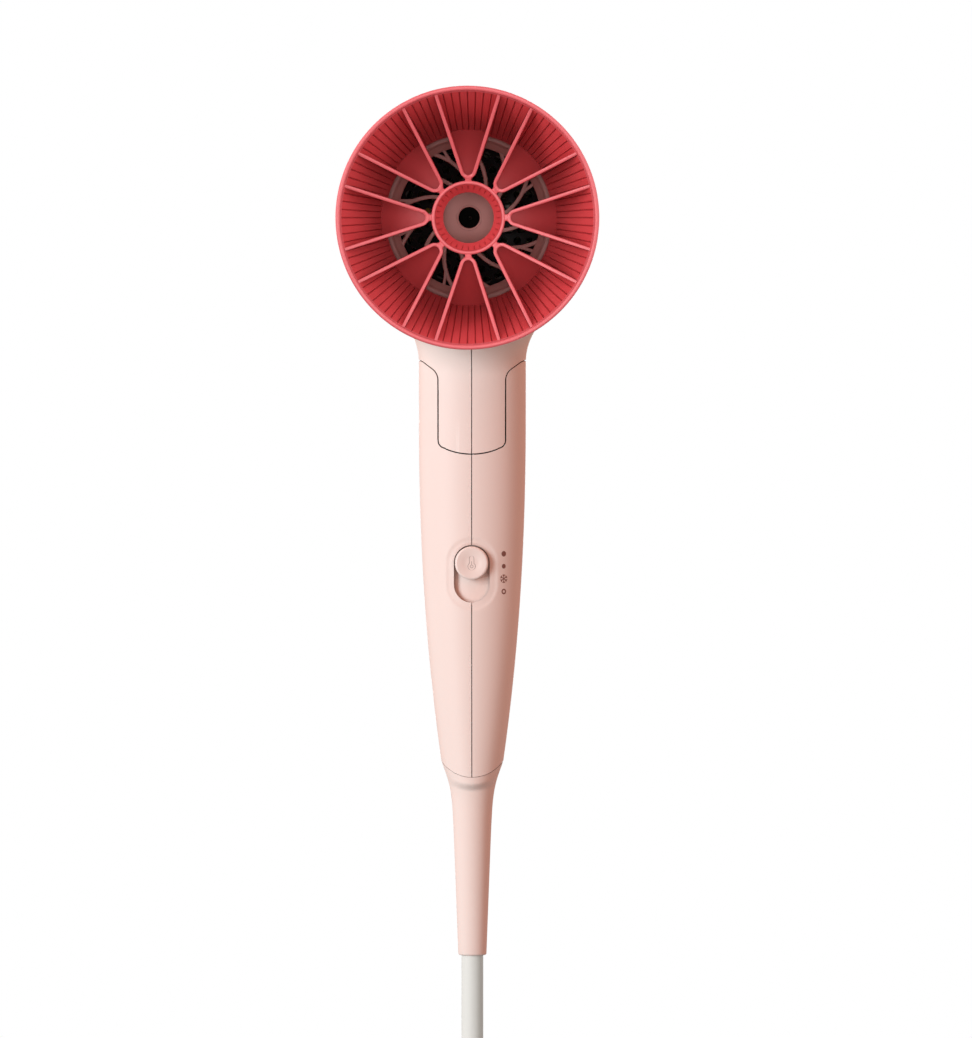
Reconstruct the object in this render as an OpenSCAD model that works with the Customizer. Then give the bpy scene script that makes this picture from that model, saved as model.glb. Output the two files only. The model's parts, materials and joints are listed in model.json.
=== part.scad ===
// Folding hair dryer with a pull-on finned diffuser, modelled in millimetres.
// The origin is the middle of the grip, +Z is up the handle and -Y is the way the air leaves.
// Each moulding, fastener and inner piece is one module, and each module is one node.

/* [Handle] */
// Width across the handle at the fold pivot
handle_w = 36.9; // [32:0.1:42]
// Depth of the handle, front to back, at the fold pivot
handle_d = 27.6; // [24:0.1:31]
// Distance from the fold pivot down to the seam at the foot
handle_len = 120.1; // [110:0.1:140]
// Diameter of the round foot of the handle
foot_w = 21.4; // [19:0.1:24]
// How late the handle tapers, where 1 is a straight cone
taper_power = 2.2; // [1.6:0.1:3]
// Height of the fold pivot above the middle of the grip
grip_rise = 75; // [65:1:85]
// Wall thickness of the handle and head mouldings
wall = 2; // [1.6:0.1:2.4]
// Radius of the arched seam under the handle
foot_arch_r = 13.5; // [12.5:0.1:16]

/* [Fold hinge] */
// Width of the head's tab between the handle's cheeks
tab_w = 22.8; // [20:0.1:25]
// Free gap between the tab and the handle all round
hinge_gap = 0.5; // [0.4:0.05:0.7]
// Radius of the cheek's shoulder beside the tab
shoulder_in_r = 17.6; // [16.5:0.1:18]
// Radius of the cheek's shoulder at the outside
shoulder_out_r = 18.2; // [18:0.1:20]
// Diameter of the pivot screw's shank
pivot_d = 5; // [4:0.1:6]
// Radial running clearance of the tab on the pivot screw
pivot_fit = 0.05; // [0.02:0.01:0.1]
// Diameter of the cap over the pivot screw
pivot_cap_d = 7.2; // [6.8:0.1:8.4]

/* [Head] */
// Height of the head's axis above the fold pivot
head_rise = 67.3; // [64:0.1:74]
// Outer diameter of the head
barrel_d = 86; // [80:0.5:92]
// Length of the head in front of the pivot, up to its front shoulder
barrel_front = 44; // [40:0.5:50]
// Length of the head's shell behind the pivot
barrel_back = 32; // [28:0.5:36]
// Radius of the blend between the neck and the head, seen from the front
neck_blend = 20; // [16:0.5:24]
// Radius of the blend between the neck and the head, seen from the side
neck_blend_side = 12; // [8:0.5:16]
// Outer diameter of the collar that the diffuser pushes on to
collar_d = 63; // [61:0.1:66]
// Length of the collar
collar_len = 17; // [14:0.5:20]

/* [Outlet grille] */
// Outer diameter of the grille's ring
grille_d = 58.4; // [57:0.1:59]
// Radial clearance of the grille's ring in the collar's bore
grille_fit = 0.3; // [0.1:0.05:0.5]
// Width of the grille's ring
grille_ring_w = 5; // [4:0.1:6]
// Diameter of the grille's hub
grille_hub_d = 19; // [17:0.1:22]
// Diameter of the ion hole in the hub
ion_hole_d = 7.2; // [6:0.1:8]
// Number of swirl vanes
vanes = 13; // [9:1:17]
// Thickness of a swirl vane
vane_t = 1.4; // [1:0.1:2]
// Angle that a vane turns through from hub to ring
vane_turn = 38; // [20:1:50]

/* [Diffuser] */
// Diameter over the diffuser's rim
diffuser_d = 89; // [84:0.5:96]
// Distance from the collar's front to the rim
diffuser_deep = 31; // [26:0.5:38]
// Thickness of the diffuser's wall
diffuser_wall = 1.6; // [1.2:0.1:2]
// Diameter of the bowl's opening over the grille
bowl_hole_d = 56.6; // [54:0.1:57.5]
// Number of petals
petals = 8; // [6:1:10]
// Half angle between the two fins of a petal
fin_splay = 18.2; // [14:0.1:20]
// Distance from the axis to the point where a petal's two fins would meet
fin_apex = 8.8; // [7:0.1:11]
// Thickness of a fin
fin_t = 1.2; // [0.9:0.1:1.6]
// Diameter over the diffuser's hub ring
hub_ring_d = 25; // [24:0.1:28]
// Inner diameter of the hub ring at its back
hub_hole_d = 17.2; // [15:0.1:19]
// How far the hub ring lies behind the rim
hub_sunk = 16; // [12:0.5:20]
// Radial clearance of the diffuser's sleeve on the collar
sleeve_fit = 0.3; // [0.2:0.05:0.5]

/* [Blower] */
// Diameter over the impeller's blades
impeller_d = 75; // [70:0.5:76]
// Diameter of the impeller's hub
impeller_hub_d = 28; // [24:0.5:34]
// Number of impeller blades
blades = 9; // [5:1:13]
// Diameter of the motor's case
motor_d = 30; // [26:0.5:34]
// Length of the motor's case
motor_len = 28; // [24:0.5:32]
// Diameter of the motor's shaft
shaft_d = 3; // [2:0.1:4]
// Radial running clearance of the shaft in its bearings
shaft_fit = 0.03; // [0.02:0.01:0.1]
// Number of guide vanes that hold the motor
guide_vanes = 7; // [5:1:11]

/* [Heater] */
// Inner diameter of the heater's mica sleeve
heater_d = 54; // [50:0.5:56]
// Length of the heater
heater_len = 32; // [28:0.5:34]
// Turns of the heating wire
coil_turns = 6; // [4:1:8]
// Diameter of the heating wire's coil strand
coil_wire_d = 1.2; // [0.8:0.1:1.6]

/* [Heat switch] */
// Diameter of the sliding button
button_d = 11.5; // [10:0.1:13]
// Radial clearance of the button in its slot
button_fit = 0.4; // [0.3:0.05:0.6]
// Travel of the button, from high heat down to off
button_travel = 7.5; // [6:0.1:9]
// Height of the button above the middle of the grip, at high heat
button_rise = 23.5; // [20:0.5:30]
// How far the button stands out of the handle
button_proud = 1.3; // [0.8:0.1:2]
// Diameter of the button's stem
stem_d = 4; // [3:0.1:5]

/* [Strain relief and cord] */
// Length of the strain relief below the foot seam
relief_len = 67.2; // [50:0.1:80]
// Diameter of the strain relief where the cord leaves it
relief_end_d = 9.7; // [9:0.1:11]
// Depth of the strain relief's collar band
relief_band = 2.4; // [1.8:0.1:3.4]
// Diameter of the cord
cord_d = 7.5; // [6.5:0.1:8]

/* [Hidden] */

$fn = 64;
eps = 0.01;
far = 200;

// Facets round the lofted skins, and the half step that keeps a facet across the seam
skin_sides = 48;
skin_phase = 180 / skin_sides;

pivot_z = grip_rise;
head_z = pivot_z + head_rise;
foot_z = pivot_z - handle_len;
tab_x = tab_w / 2;
cheek_x = tab_x + hinge_gap;
seam_gap = 0.1;

// Handle half width and half depth at a drop below the pivot
function taper(drop) = pow(max(drop, 0) / handle_len, taper_power);
function half_w(drop) = handle_w / 2 - (handle_w - foot_w) / 2 * taper(drop);
function half_d(drop) = handle_d / 2 - (handle_d - foot_w) / 2 * taper(drop);

// One elliptical ring of a lofted skin
function ring(a, b, z) = [for (i = [0:skin_sides - 1])
    let (t = skin_phase + 360 * i / skin_sides) [a * cos(t), b * sin(t), z]];

// Closed skin over rings that all have the same number of points
module skin(rings) {
    n = len(rings[0]);
    last = len(rings) - 1;
    pts = [for (r = rings) for (p = r) p];
    sides_a = [for (j = [0:last - 1]) for (i = [0:n - 1])
        [j * n + i, (j + 1) * n + i, (j + 1) * n + (i + 1) % n]];
    sides_b = [for (j = [0:last - 1]) for (i = [0:n - 1])
        [j * n + i, (j + 1) * n + (i + 1) % n, j * n + (i + 1) % n]];
    bottom = [[for (i = [0:n - 1]) i]];
    top = [[for (i = [n - 1:-1:0]) last * n + i]];
    polyhedron(points = pts, faces = concat(bottom, sides_a, sides_b, top), convexity = 6);
}

// Everything on the left (-1) or right (+1) of the seam
module half_space(side) {
    translate([side > 0 ? 0 : -far, -far, -far]) cube([far, 2 * far, 3 * far]);
}

// Turned shapes: round the fold pivot, with x to the right, and round the head's axis, with z forward
module about_pivot() {
    translate([0, 0, pivot_z]) rotate([0, 90, 0]) children();
}
module about_head() {
    translate([0, 0, head_z]) rotate([90, 0, 0]) children();
}

// Plain tube or disc on the local z axis
module tube(r_out, r_in, from, to) {
    difference() {
        translate([0, 0, from]) cylinder(r = r_out, h = to - from);
        translate([0, 0, from - 1]) cylinder(r = r_in, h = to - from + 2);
    }
}

// ---------- Handle ----------

handle_top = pivot_z + shoulder_out_r + 2;
skin_step = 9;
handle_drops = [for (d = [0:skin_step:handle_len + skin_step]) d];

// The handle's solid outline, moved in by an inset
module handle_skin(inset) {
    skin(concat(
        [for (i = [len(handle_drops) - 1:-1:0]) let (d = handle_drops[i])
            ring(half_w(d) - inset, half_d(d) - inset, pivot_z - d)],
        [ring(half_w(0) - inset, half_d(0) - inset, handle_top)]));
}

// Keeps what is above the arched seam at the foot
foot_arch_z = foot_z + sqrt(pow(foot_arch_r, 2) - pow(foot_w / 2, 2));
module above_foot(inset) {
    translate([0, 0, foot_arch_z]) rotate([90, 0, 0])
        cylinder(r = foot_arch_r - inset, h = far, center = true);
    translate([-far / 2, -far / 2, foot_arch_z]) cube([far, far, far]);
}

// Front outline of the tab's end, as drop below the pivot against x, with a round corner
tab_steps = 10;
tab_corner = 2.5;
tab_corner_x = tab_x - tab_corner;
function tab_depth(x) = handle_d / 2 * sqrt(1 - pow(2 * x / handle_w, 2));
tab_corner_drop = min([for (a = [0:3:90])
    tab_depth(tab_corner_x + tab_corner * sin(a)) - tab_corner * cos(a)]);
function tab_line(grow) = concat(
    [for (i = [0:tab_steps]) let (x = tab_corner_x * i / tab_steps) [x, tab_depth(x) + grow]],
    [for (a = [10:16:90]) let (r = tab_corner + grow, x = tab_corner_x + r * sin(a))
        [x, min(tab_depth(x) + grow, tab_corner_drop + r * cos(a))]]);

// Half profile of the space that the tab turns in, as radius against x
function tab_outline(grow) = let (half = [for (p = tab_line(grow)) [norm([tab_depth(p[0]), p[1]]), p[0]]])
    concat([[0, -tab_x - grow]], [for (i = [len(half) - 1:-1:0]) [half[i][0], -half[i][1]]],
        [for (i = [1:len(half) - 1]) half[i]], [[0, tab_x + grow]]);
module tab_swept(grow) {
    about_pivot() rotate_extrude() polygon(tab_outline(grow));
}

// Half profile of a cheek's round shoulder: a round corner by the tab, a crown and a round edge outside
shoulder_corner = 2;
shoulder_edge = 2.5;
shoulder_edge_x = handle_w / 2 - 1.42;
function shoulder_line(grow) = concat(
    [for (a = [180:-16:100]) [cheek_x + shoulder_corner + (shoulder_corner + grow) * cos(a),
        shoulder_in_r - shoulder_corner + (shoulder_corner + grow) * sin(a)]],
    [for (a = [100:-11:45]) [shoulder_edge_x + (shoulder_edge + grow) * cos(a),
        shoulder_out_r - shoulder_edge + (shoulder_edge + grow) * sin(a)]]);

// Round shoulder of one cheek, as a turned solid on the side given
module shoulder(side, grow) {
    line = shoulder_line(grow);
    reach = handle_w / 2 + 6;
    last = line[len(line) - 1];
    about_pivot() rotate_extrude() polygon(concat([[0, side * line[0][0]]],
        [for (p = line) [p[1], side * p[0]]],
        [[last[1] - (reach - last[0]), side * reach], [0, side * reach]]));
}

// Slot for the sliding button, grown by an inset
slot_r = button_d / 2 + button_fit;
module button_slot() {
    front = half_d(pivot_z - button_rise);
    for (z = [button_rise, button_rise - button_travel])
        translate([0, -front - 3, z]) rotate([-90, 0, 0]) cylinder(r = slot_r, h = front);
    translate([-slot_r, -front - 3, button_rise - button_travel]) cube([2 * slot_r, front, button_travel]);
}

screw_z = pivot_z - 95.6;
screw_d = 3;
screw_head_d = 5.6;
plug_d = 6.8;
boss_d = 9;
boss_face = 0.05;

// Solid handle with its inside and all its openings taken out
module handle_shell(side) {
    intersection() {
        half_space(side);
        difference() {
            union() {
                difference() {
                    intersection() {
                        handle_skin(0);
                        above_foot(0);
                    }
                    intersection() {
                        handle_skin(wall);
                        above_foot(wall);
                        translate([-far / 2, -far / 2, -far]) cube([far, far, far + pivot_z - cavity_drop]);
                    }
                }
                intersection() {
                    handle_skin(wall / 2);
                    translate([-far, 0, screw_z]) rotate([0, 90, 0]) cylinder(d = boss_d, h = 2 * far);
                }
            }
            cheek_cut();
            button_slot();
            foot_hole();
            screw_holes();
            pivot_holes();
        }
    }
}

// The head's cavity between the cheeks, and the free space above their shoulders
cavity_drop = 20;
module cheek_cut() {
    tab_swept(hinge_gap);
    translate([-cheek_x, -far / 2, pivot_z]) cube([2 * cheek_x, far, far]);
    difference() {
        translate([-far / 2, -far / 2, pivot_z]) cube([far, far, far]);
        shoulder(-1, 0);
        shoulder(1, 0);
    }
    translate([0, 0, pivot_z - cavity_drop - eps]) cylinder(r = wire_way_r, h = cavity_drop);
}
wire_way_r = 6;

relief_neck_r = 5.6;
relief_flange_r = 7.6;
module foot_hole() {
    translate([0, 0, foot_arch_z - foot_arch_r - 1]) cylinder(r = relief_neck_r, h = foot_arch_r);
}

module screw_holes() {
    translate([-far / 2, 0, screw_z]) rotate([0, 90, 0]) cylinder(d = screw_d + 0.4, h = far / 2);
    translate([-far / 2, 0, screw_z]) rotate([0, 90, 0])
        cylinder(d = plug_d, h = far / 2 - screw_seat);
    translate([-eps, 0, screw_z]) rotate([0, 90, 0]) cylinder(d = screw_d, h = screw_depth);
}
screw_seat = 5;
screw_depth = 9;

pivot_head_d = 6.6;
pivot_head_t = 2;
pivot_seat = handle_w / 2 - 4;
pivot_end = handle_w / 2 - 3.4;
module pivot_holes() {
    translate([-far / 2, 0, pivot_z]) rotate([0, 90, 0]) cylinder(d = pivot_d, h = far / 2 + pivot_end);
    translate([-far / 2, 0, pivot_z]) rotate([0, 90, 0]) cylinder(d = pivot_cap_d, h = far / 2 - pivot_seat);
    for (side = [-1, 1])
        translate([side * (cheek_x - eps), 0, pivot_z]) rotate([0, side * 90, 0])
            cylinder(r = washer_r + 0.1, h = washer_sunk + eps);
}

module handle_left() {
    color("mistyrose") handle_shell(-1);
}
module handle_right() {
    color("mistyrose") handle_shell(1);
}

// ---------- Fold hinge ----------

washer_r = 6;
washer_t = 0.8;
washer_sunk = 0.5;

module hinge_washers() {
    color("whitesmoke") for (side = [-1, 1])
        translate([side * (cheek_x + washer_sunk - washer_t), 0, pivot_z]) rotate([0, side * 90, 0])
            tube(washer_r, pivot_d / 2, 0, washer_t);
}

module pivot_screw() {
    color("silver") difference() {
        union() {
            translate([-pivot_seat, 0, pivot_z]) rotate([0, 90, 0])
                cylinder(d = pivot_d, h = pivot_seat + pivot_end);
            translate([-pivot_seat - pivot_head_t, 0, pivot_z]) rotate([0, 90, 0])
                cylinder(d = pivot_head_d, h = pivot_head_t);
        }
        translate([-pivot_seat - pivot_head_t - 1, 0, pivot_z]) rotate([0, 90, 0])
            cylinder(d = 2.8, h = 2.4, $fn = 6);
    }
}

module pivot_cap() {
    color("pink") intersection() {
        handle_skin(0.1);
        translate([-far / 2, 0, pivot_z]) rotate([0, 90, 0])
            cylinder(d = pivot_cap_d - 2 * seam_gap, h = far / 2 - pivot_seat - pivot_head_t);
    }
}

// ---------- Head ----------

barrel_r = barrel_d / 2;
collar_r = collar_d / 2;
collar_end = barrel_front + collar_len;
front_round = 10;

// Point on a quarter round, from t = 0 on the side to t = 90 on the end
function corner(r_mid, s_mid, radius, t) = [r_mid + radius * cos(t), s_mid + radius * sin(t)];

// The collar's radius: outside, or in its bore, which holds the grille's ring
function collar_at(inset) = inset > 0 ? grille_d / 2 + grille_fit : collar_r;

// Outline of the barrel, radius against distance forward, moved in by an inset
function barrel_outline(inset) = concat(
    [[0, -barrel_back - (inset > 0 ? 1 : 0)], [barrel_r - inset, -barrel_back - (inset > 0 ? 1 : 0)]],
    [for (i = [0:6]) corner(barrel_r - front_round, barrel_front - front_round,
        front_round - inset, 90 * i / 6)],
    [[collar_at(inset), barrel_front - inset], [collar_at(inset), collar_end + (inset > 0 ? 1 : 0)],
        [0, collar_end + (inset > 0 ? 1 : 0)]]);

module barrel(inset) {
    about_head() rotate_extrude($fn = 96) polygon(barrel_outline(inset));
}

// Neck: an ellipse that widens with a round blend towards the barrel
blend_x = handle_w / 2 + neck_blend;
blend_z = head_z - sqrt(pow(barrel_r + neck_blend, 2) - pow(blend_x, 2));
blend_side_z = head_z - barrel_r - neck_blend_side;
function blended(z, start, radius) = z <= start ? 0
    : radius - sqrt(max(pow(radius, 2) - pow(z - start, 2), 0));
neck_top = blend_z + neck_blend * 0.8;
function neck_w(z) = handle_w / 2 + blended(z, blend_z, neck_blend);
function neck_d(z) = handle_d / 2 + blended(min(z, blend_side_z + neck_blend_side - 0.3),
    blend_side_z, neck_blend_side);
neck_steps = 7;
neck_low = pivot_z - handle_d / 2 - 1;
module neck_skin(inset) {
    start = min(blend_z, blend_side_z);
    skin(concat(
        [ring(handle_w / 2 - inset, handle_d / 2 - inset, neck_low)],
        [for (i = [0:neck_steps]) let (z = start + (neck_top - start) * i / neck_steps)
            ring(neck_w(z) - inset, neck_d(z) - inset, z)],
        [ring(neck_w(neck_top) - inset, neck_d(neck_top) - inset, head_z - barrel_r * 0.55)]));
}

// The tab's rounded end: the handle's own outline turned a quarter round the pivot, with round corners
module tab_end(inset) {
    line = tab_line(-inset);
    rotate([90, 0, 0]) linear_extrude(far, center = true) polygon(concat(
        [for (p = line) [p[0], pivot_z - p[1]]],
        [[tab_x - inset, pivot_z + 1], [inset - tab_x, pivot_z + 1]],
        [for (i = [len(line) - 1:-1:1]) [-line[i][0], pivot_z - line[i][1]]]));
}

// Space that the head may fill: the tab between the cheeks, and all above the shoulders
module neck_space(inset) {
    intersection() {
        tab_swept(-inset);
        union() {
            tab_end(inset);
            translate([-far / 2, -far / 2, pivot_z]) cube([far, far, far]);
        }
    }
    intersection() {
        translate([-tab_x + inset, -far / 2, pivot_z]) cube([tab_w - 2 * inset, far, far]);
        neck_skin(inset);
    }
    difference() {
        translate([-far / 2, -far / 2, pivot_z + 8]) cube([far, far, far]);
        shoulder(-1, hinge_gap + inset);
        shoulder(1, hinge_gap + inset);
    }
}

tab_boss_r = 5.4;
module head_shell(side) {
    intersection() {
        half_space(side);
        difference() {
            union() {
                difference() {
                    union() {
                        barrel(0);
                        intersection() {
                            neck_skin(0);
                            neck_space(0);
                        }
                    }
                    barrel(wall);
                    intersection() {
                        neck_skin(wall);
                        neck_space(wall);
                    }
                }
                translate([-tab_x + 0.6, 0, pivot_z]) rotate([0, 90, 0])
                    cylinder(r = tab_boss_r, h = tab_w - 1.2);
            }
            translate([-far / 2, 0, pivot_z]) rotate([0, 90, 0])
                cylinder(r = pivot_d / 2 + pivot_fit, h = far);
            translate([-wire_way_r, -wire_way_r, pivot_z - handle_d / 2 - 2])
                cube([2 * wire_way_r, 2 * wire_way_r, 5]);
        }
    }
}

module head_left() {
    color("mistyrose") head_shell(-1);
}
module head_right() {
    color("mistyrose") head_shell(1);
}

// ---------- Handle fittings ----------

module handle_screw() {
    color("silver") difference() {
        union() {
            translate([-screw_seat, 0, screw_z]) rotate([0, 90, 0])
                cylinder(d = screw_d, h = screw_seat + screw_depth - 1);
            translate([-screw_seat - 2, 0, screw_z]) rotate([0, 90, 0]) cylinder(d = screw_head_d, h = 2);
        }
        translate([-screw_seat - 3, 0, screw_z]) rotate([0, 90, 0]) cylinder(d = 2.4, h = 2.2, $fn = 6);
    }
}

module screw_plug() {
    color("pink") intersection() {
        handle_skin(0.1);
        translate([-far / 2, 0, screw_z]) rotate([0, 90, 0])
            cylinder(d = plug_d - 2 * seam_gap, h = far / 2 - screw_seat - 3);
    }
}

button_front = half_d(pivot_z - button_rise) + button_proud;
slip_up = button_travel + slot_r + 1.2;
slip_down = button_travel + slot_r + 1.2;
// The slip clears the wall where the handle is thinnest, at the bottom of its travel
shutter_y = half_d(pivot_z - button_rise + button_travel + slip_down) - wall - 0.5;
shutter_t = 1;
shutter_w = 14.6;
button_dish = 0.5;

// Round button with a raised rim, and the stem that works the switch
module heat_button() {
    color("pink") translate([0, 0, button_rise]) rotate([90, 0, 0]) {
        rotate_extrude() polygon(concat(
            [[0, shutter_y + 0.3], [button_d / 2, shutter_y + 0.3]],
            [for (i = [0:4]) corner(button_d / 2 - 0.8, button_front - 0.8, 0.8, 90 * i / 4)],
            [[button_d / 2 - 1.4, button_front - 0.1], [button_d / 2 - 2.2, button_front - button_dish],
                [0, button_front - button_dish]]));
        translate([0, 0, switch_front - 1.4]) cylinder(d = stem_d, h = shutter_y + 0.5 - switch_front + 1.4);
    }
}

// Curved slip that closes the slot behind the button and slides with it
slip_r = pow(handle_w / 2 - wall, 2) / (handle_d / 2 - wall) - 1;
module slot_shutter() {
    color("pink") difference() {
        intersection() {
            translate([0, slip_r - shutter_y, button_rise - slip_down])
                tube(slip_r, slip_r - shutter_t, 0, slip_up + slip_down);
            translate([-shutter_w / 2, -far, button_rise - far / 2]) cube([shutter_w, far, far]);
        }
        translate([0, 0, button_rise]) rotate([90, 0, 0]) cylinder(d = stem_d, h = far);
    }
}

switch_front = shutter_y - shutter_t - 1.2;
switch_back = 1.4;
module switch_body() {
    color("dimgray") translate([0, 0, button_rise - button_travel / 2]) difference() {
        translate([-6, -switch_front, -11]) cube([12, switch_front - switch_back, 22]);
        translate([0, -switch_front - 1, 0]) rotate([-90, 0, 0]) hull_slot(stem_d / 2 + 0.4, 3.4);
    }
}
// Straight slot, round at both ends, that the stem travels in
module hull_slot(r, deep) {
    for (z = [-button_travel / 2, button_travel / 2]) translate([0, z, 0]) cylinder(r = r, h = deep);
    translate([-r, -button_travel / 2, 0]) cube([2 * r, button_travel, deep]);
}

board_z0 = screw_z + boss_d / 2 + 2;
board_z1 = pivot_z - 24;
board_y = switch_back * -1;
board_t = 1.4;
module control_board() {
    color("darkgreen") difference() {
        translate([-9, board_y, board_z0]) cube([18, board_t, board_z1 - board_z0]);
        for (z = [board_z0 + 3, board_z1 - 3]) translate([0, board_y - 1, z]) rotate([-90, 0, 0])
            cylinder(d = 2.4, h = board_t + 2);
    }
}

module board_parts() {
    top = board_y + board_t;
    color("black") {
        translate([-5, top, board_z0 + 8]) cube([10, 5, 9]);
        translate([-7, top, board_z0 + 22]) cube([6, 3, 8]);
        translate([2, top, board_z0 + 22]) cube([5, 2.4, 5]);
        translate([0, top, board_z0 + 40]) rotate([-90, 0, 0]) cylinder(d = 9, h = 6);
    }
}

module ion_module() {
    color("slategray") translate([-6, board_y + board_t, board_z1 - 15]) cube([12, 7, 12]);
}

flange_z = foot_arch_z - sqrt(pow(foot_arch_r - wall, 2) - pow(relief_flange_r, 2)) + 0.2;
flange_t = 2.4;
clamp_z = flange_z + flange_t + 1;
clamp_w = 12.6;
clamp_d = 10.2;
module cord_clamp() {
    color("ivory") difference() {
        translate([-clamp_w / 2, -clamp_d / 2, clamp_z]) cube([clamp_w, clamp_d, 6]);
        translate([0, 0, clamp_z - 1]) cylinder(d = cord_d, h = 8);
        for (side = [-1, 1]) translate([side * (cord_d / 2 + 1.3), 0, clamp_z - 1]) cylinder(d = 1.4, h = 8);
    }
}

relief_end_z = foot_z - relief_len;
module inner_lead() {
    color("gainsboro") translate([0, 0, relief_end_z])
        cylinder(d = cord_d, h = clamp_z + 10 - relief_end_z);
}

// Strain relief: a trumpet that narrows to the cord, under a collar band that repeats the arched seam
flare_len = 7.2;
flare_power = 1.4;
relief_slope = 0.0375;
function relief_r(drop) = relief_end_d / 2 + relief_slope * (relief_len - drop)
    + (foot_w / 2 - 0.1 - relief_end_d / 2 - relief_slope * relief_len)
    * exp(-pow(max(drop, 0) / flare_len, flare_power));
band_swell = 1.15;
relief_drops = concat([-1, 0, 1.5, 3, 5, 7, 9.5, 12.5, 16, 20, 26, 34], [relief_len * 0.66,
    relief_len * 0.83, relief_len - 0.8]);
module relief_turned() {
    rotate_extrude() polygon(concat([[0, foot_z + 1]],
        [for (d = relief_drops) [relief_r(d), foot_z - d]],
        [[relief_end_d / 2 - 0.5, relief_end_z], [0, relief_end_z]]));
}
module strain_relief() {
    color("pink") difference() {
        union() {
            difference() {
                union() {
                    relief_turned();
                    intersection() {
                        scale([1, band_swell, 1]) relief_turned();
                        translate([0, 0, foot_arch_z]) rotate([90, 0, 0])
                            cylinder(r = foot_arch_r + relief_band, h = far, center = true);
                    }
                }
                above_foot(-seam_gap);
            }
            translate([0, 0, foot_arch_z - foot_arch_r - 1])
                cylinder(r = relief_neck_r - 0.1, h = flange_z - foot_arch_z + foot_arch_r + 1.5);
            translate([0, 0, flange_z]) cylinder(r = relief_flange_r, h = flange_t);
        }
        translate([0, 0, relief_end_z - 1]) cylinder(d = cord_d, h = relief_len + 30);
    }
}

// ---------- Rear cover and filter ----------

cover_deep = 11;
cover_round = 9;
cover_slots = 36;
cover_hub_r = 11;
lip_long = 3;
module rear_cover() {
    r = barrel_r - 0.2;
    s0 = -barrel_back;
    color("mistyrose") about_head() difference() {
        rotate_extrude($fn = 96) polygon(concat(
            [[0, s0 - cover_deep], [r - cover_round, s0 - cover_deep]],
            [for (i = [0:6]) corner(r - cover_round, s0 - cover_deep + cover_round, cover_round, -90 + 15 * i)],
            [[r, s0], [r - wall - 0.3, s0], [r - wall - 0.3, s0 + lip_long], [r - wall - 1.9, s0 + lip_long],
                [r - wall - 1.9, s0 - 0.4]],
            [for (i = [0:6]) corner(r - cover_round, s0 - cover_deep + cover_round, cover_round - wall,
                -15 * i)],
            [[0, s0 - cover_deep + wall]]));
        for (i = [0:cover_slots - 1]) rotate([0, 0, 360 * i / cover_slots]) {
            translate([cover_hub_r + (i % 2) * 7, -0.8, s0 - cover_deep - 1])
                cube([r - cover_round - cover_hub_r - (i % 2) * 7, 1.6, wall + 2]);
        }
    }
}

module intake_filter() {
    r = barrel_r - cover_round - 0.4;
    s0 = -barrel_back - cover_deep + wall;
    color("darkgray") about_head() difference() {
        tube(r, 0.5, s0, s0 + 0.8);
        for (ring_r = [8:6:r - 4]) for (i = [0:5]) rotate([0, 0, 60 * i + ring_r * 3])
            translate([ring_r, 0, s0 - 1]) cylinder(r = 1.6, h = 3, $fn = 16);
    }
}

// ---------- Blower ----------

duct_r = barrel_r - wall - 0.3;
duct_wall = 1.6;
fan_back = -barrel_back + lip_long + 2;
blade_long = 13;
motor_back = fan_back + blade_long + 3;
motor_front = motor_back + motor_len;
mount_t = 1.6;
heater_r = heater_d / 2;
grille_back = collar_end - 7;
screen_room = 1;
heater_back = grille_back - screen_room - heater_len;

module fan_duct() {
    throat = heater_r + 0.8;
    cone_start = motor_back + 12;
    duct_back = -barrel_back + lip_long + 0.4;
    color("lightgray") about_head() {
        rotate_extrude($fn = 96) polygon([[duct_r - duct_wall, duct_back], [duct_r, duct_back],
            [duct_r, cone_start], [throat + duct_wall, heater_back + 4], [throat, heater_back + 4],
            [throat, heater_back - 1], [duct_r - duct_wall, cone_start - 3]]);
        tube(motor_d / 2 + mount_t + 1.5, motor_d / 2 + mount_t, motor_back + 1, motor_back + 10);
        for (i = [0:guide_vanes - 1]) rotate([0, 0, 360 * i / guide_vanes + 12])
            translate([motor_d / 2 + mount_t + 1, -0.6, motor_back + 1])
                cube([duct_r - motor_d / 2 - mount_t - 1.6, 1.2, 8]);
    }
}

module motor_mount() {
    color("black") about_head()
        tube(motor_d / 2 + mount_t - 0.05, motor_d / 2 + 0.05, motor_back + 1.5, motor_back + 9.5);
}

bearing_r = 4;
bearing_t = 3;
module motor_case() {
    color("silver") about_head() difference() {
        translate([0, 0, motor_back]) cylinder(d = motor_d, h = motor_len - 2);
        translate([0, 0, motor_back + bearing_t + 1]) cylinder(d = motor_d - 2.4, h = motor_len);
        translate([0, 0, motor_back - 1]) cylinder(r = shaft_d / 2 + 0.6, h = 6);
        translate([0, 0, motor_back + 1]) cylinder(r = bearing_r, h = bearing_t + 1);
    }
}
module motor_cap() {
    color("dimgray") about_head() difference() {
        translate([0, 0, motor_front - 2]) cylinder(d = motor_d, h = 2);
        translate([0, 0, motor_front - 3]) cylinder(r = bearing_r, h = 4);
        for (i = [0:3]) rotate([0, 0, 90 * i + 45]) translate([motor_d / 3, 0, motor_front - 3])
            cylinder(d = 3, h = 4);
    }
}
module motor_bearings() {
    color("silver") about_head() {
        tube(bearing_r, shaft_d / 2 + shaft_fit, motor_back + 1, motor_back + 1 + bearing_t);
        tube(bearing_r, shaft_d / 2 + shaft_fit, motor_front - bearing_t, motor_front);
    }
}
module motor_shaft() {
    color("gray") about_head() {
        translate([0, 0, fan_back]) cylinder(d = shaft_d, h = motor_front + 1 - fan_back);
        translate([0, 0, motor_back + bearing_t + 3]) cylinder(d = motor_d - 8, h = motor_len - 12);
    }
}

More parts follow.
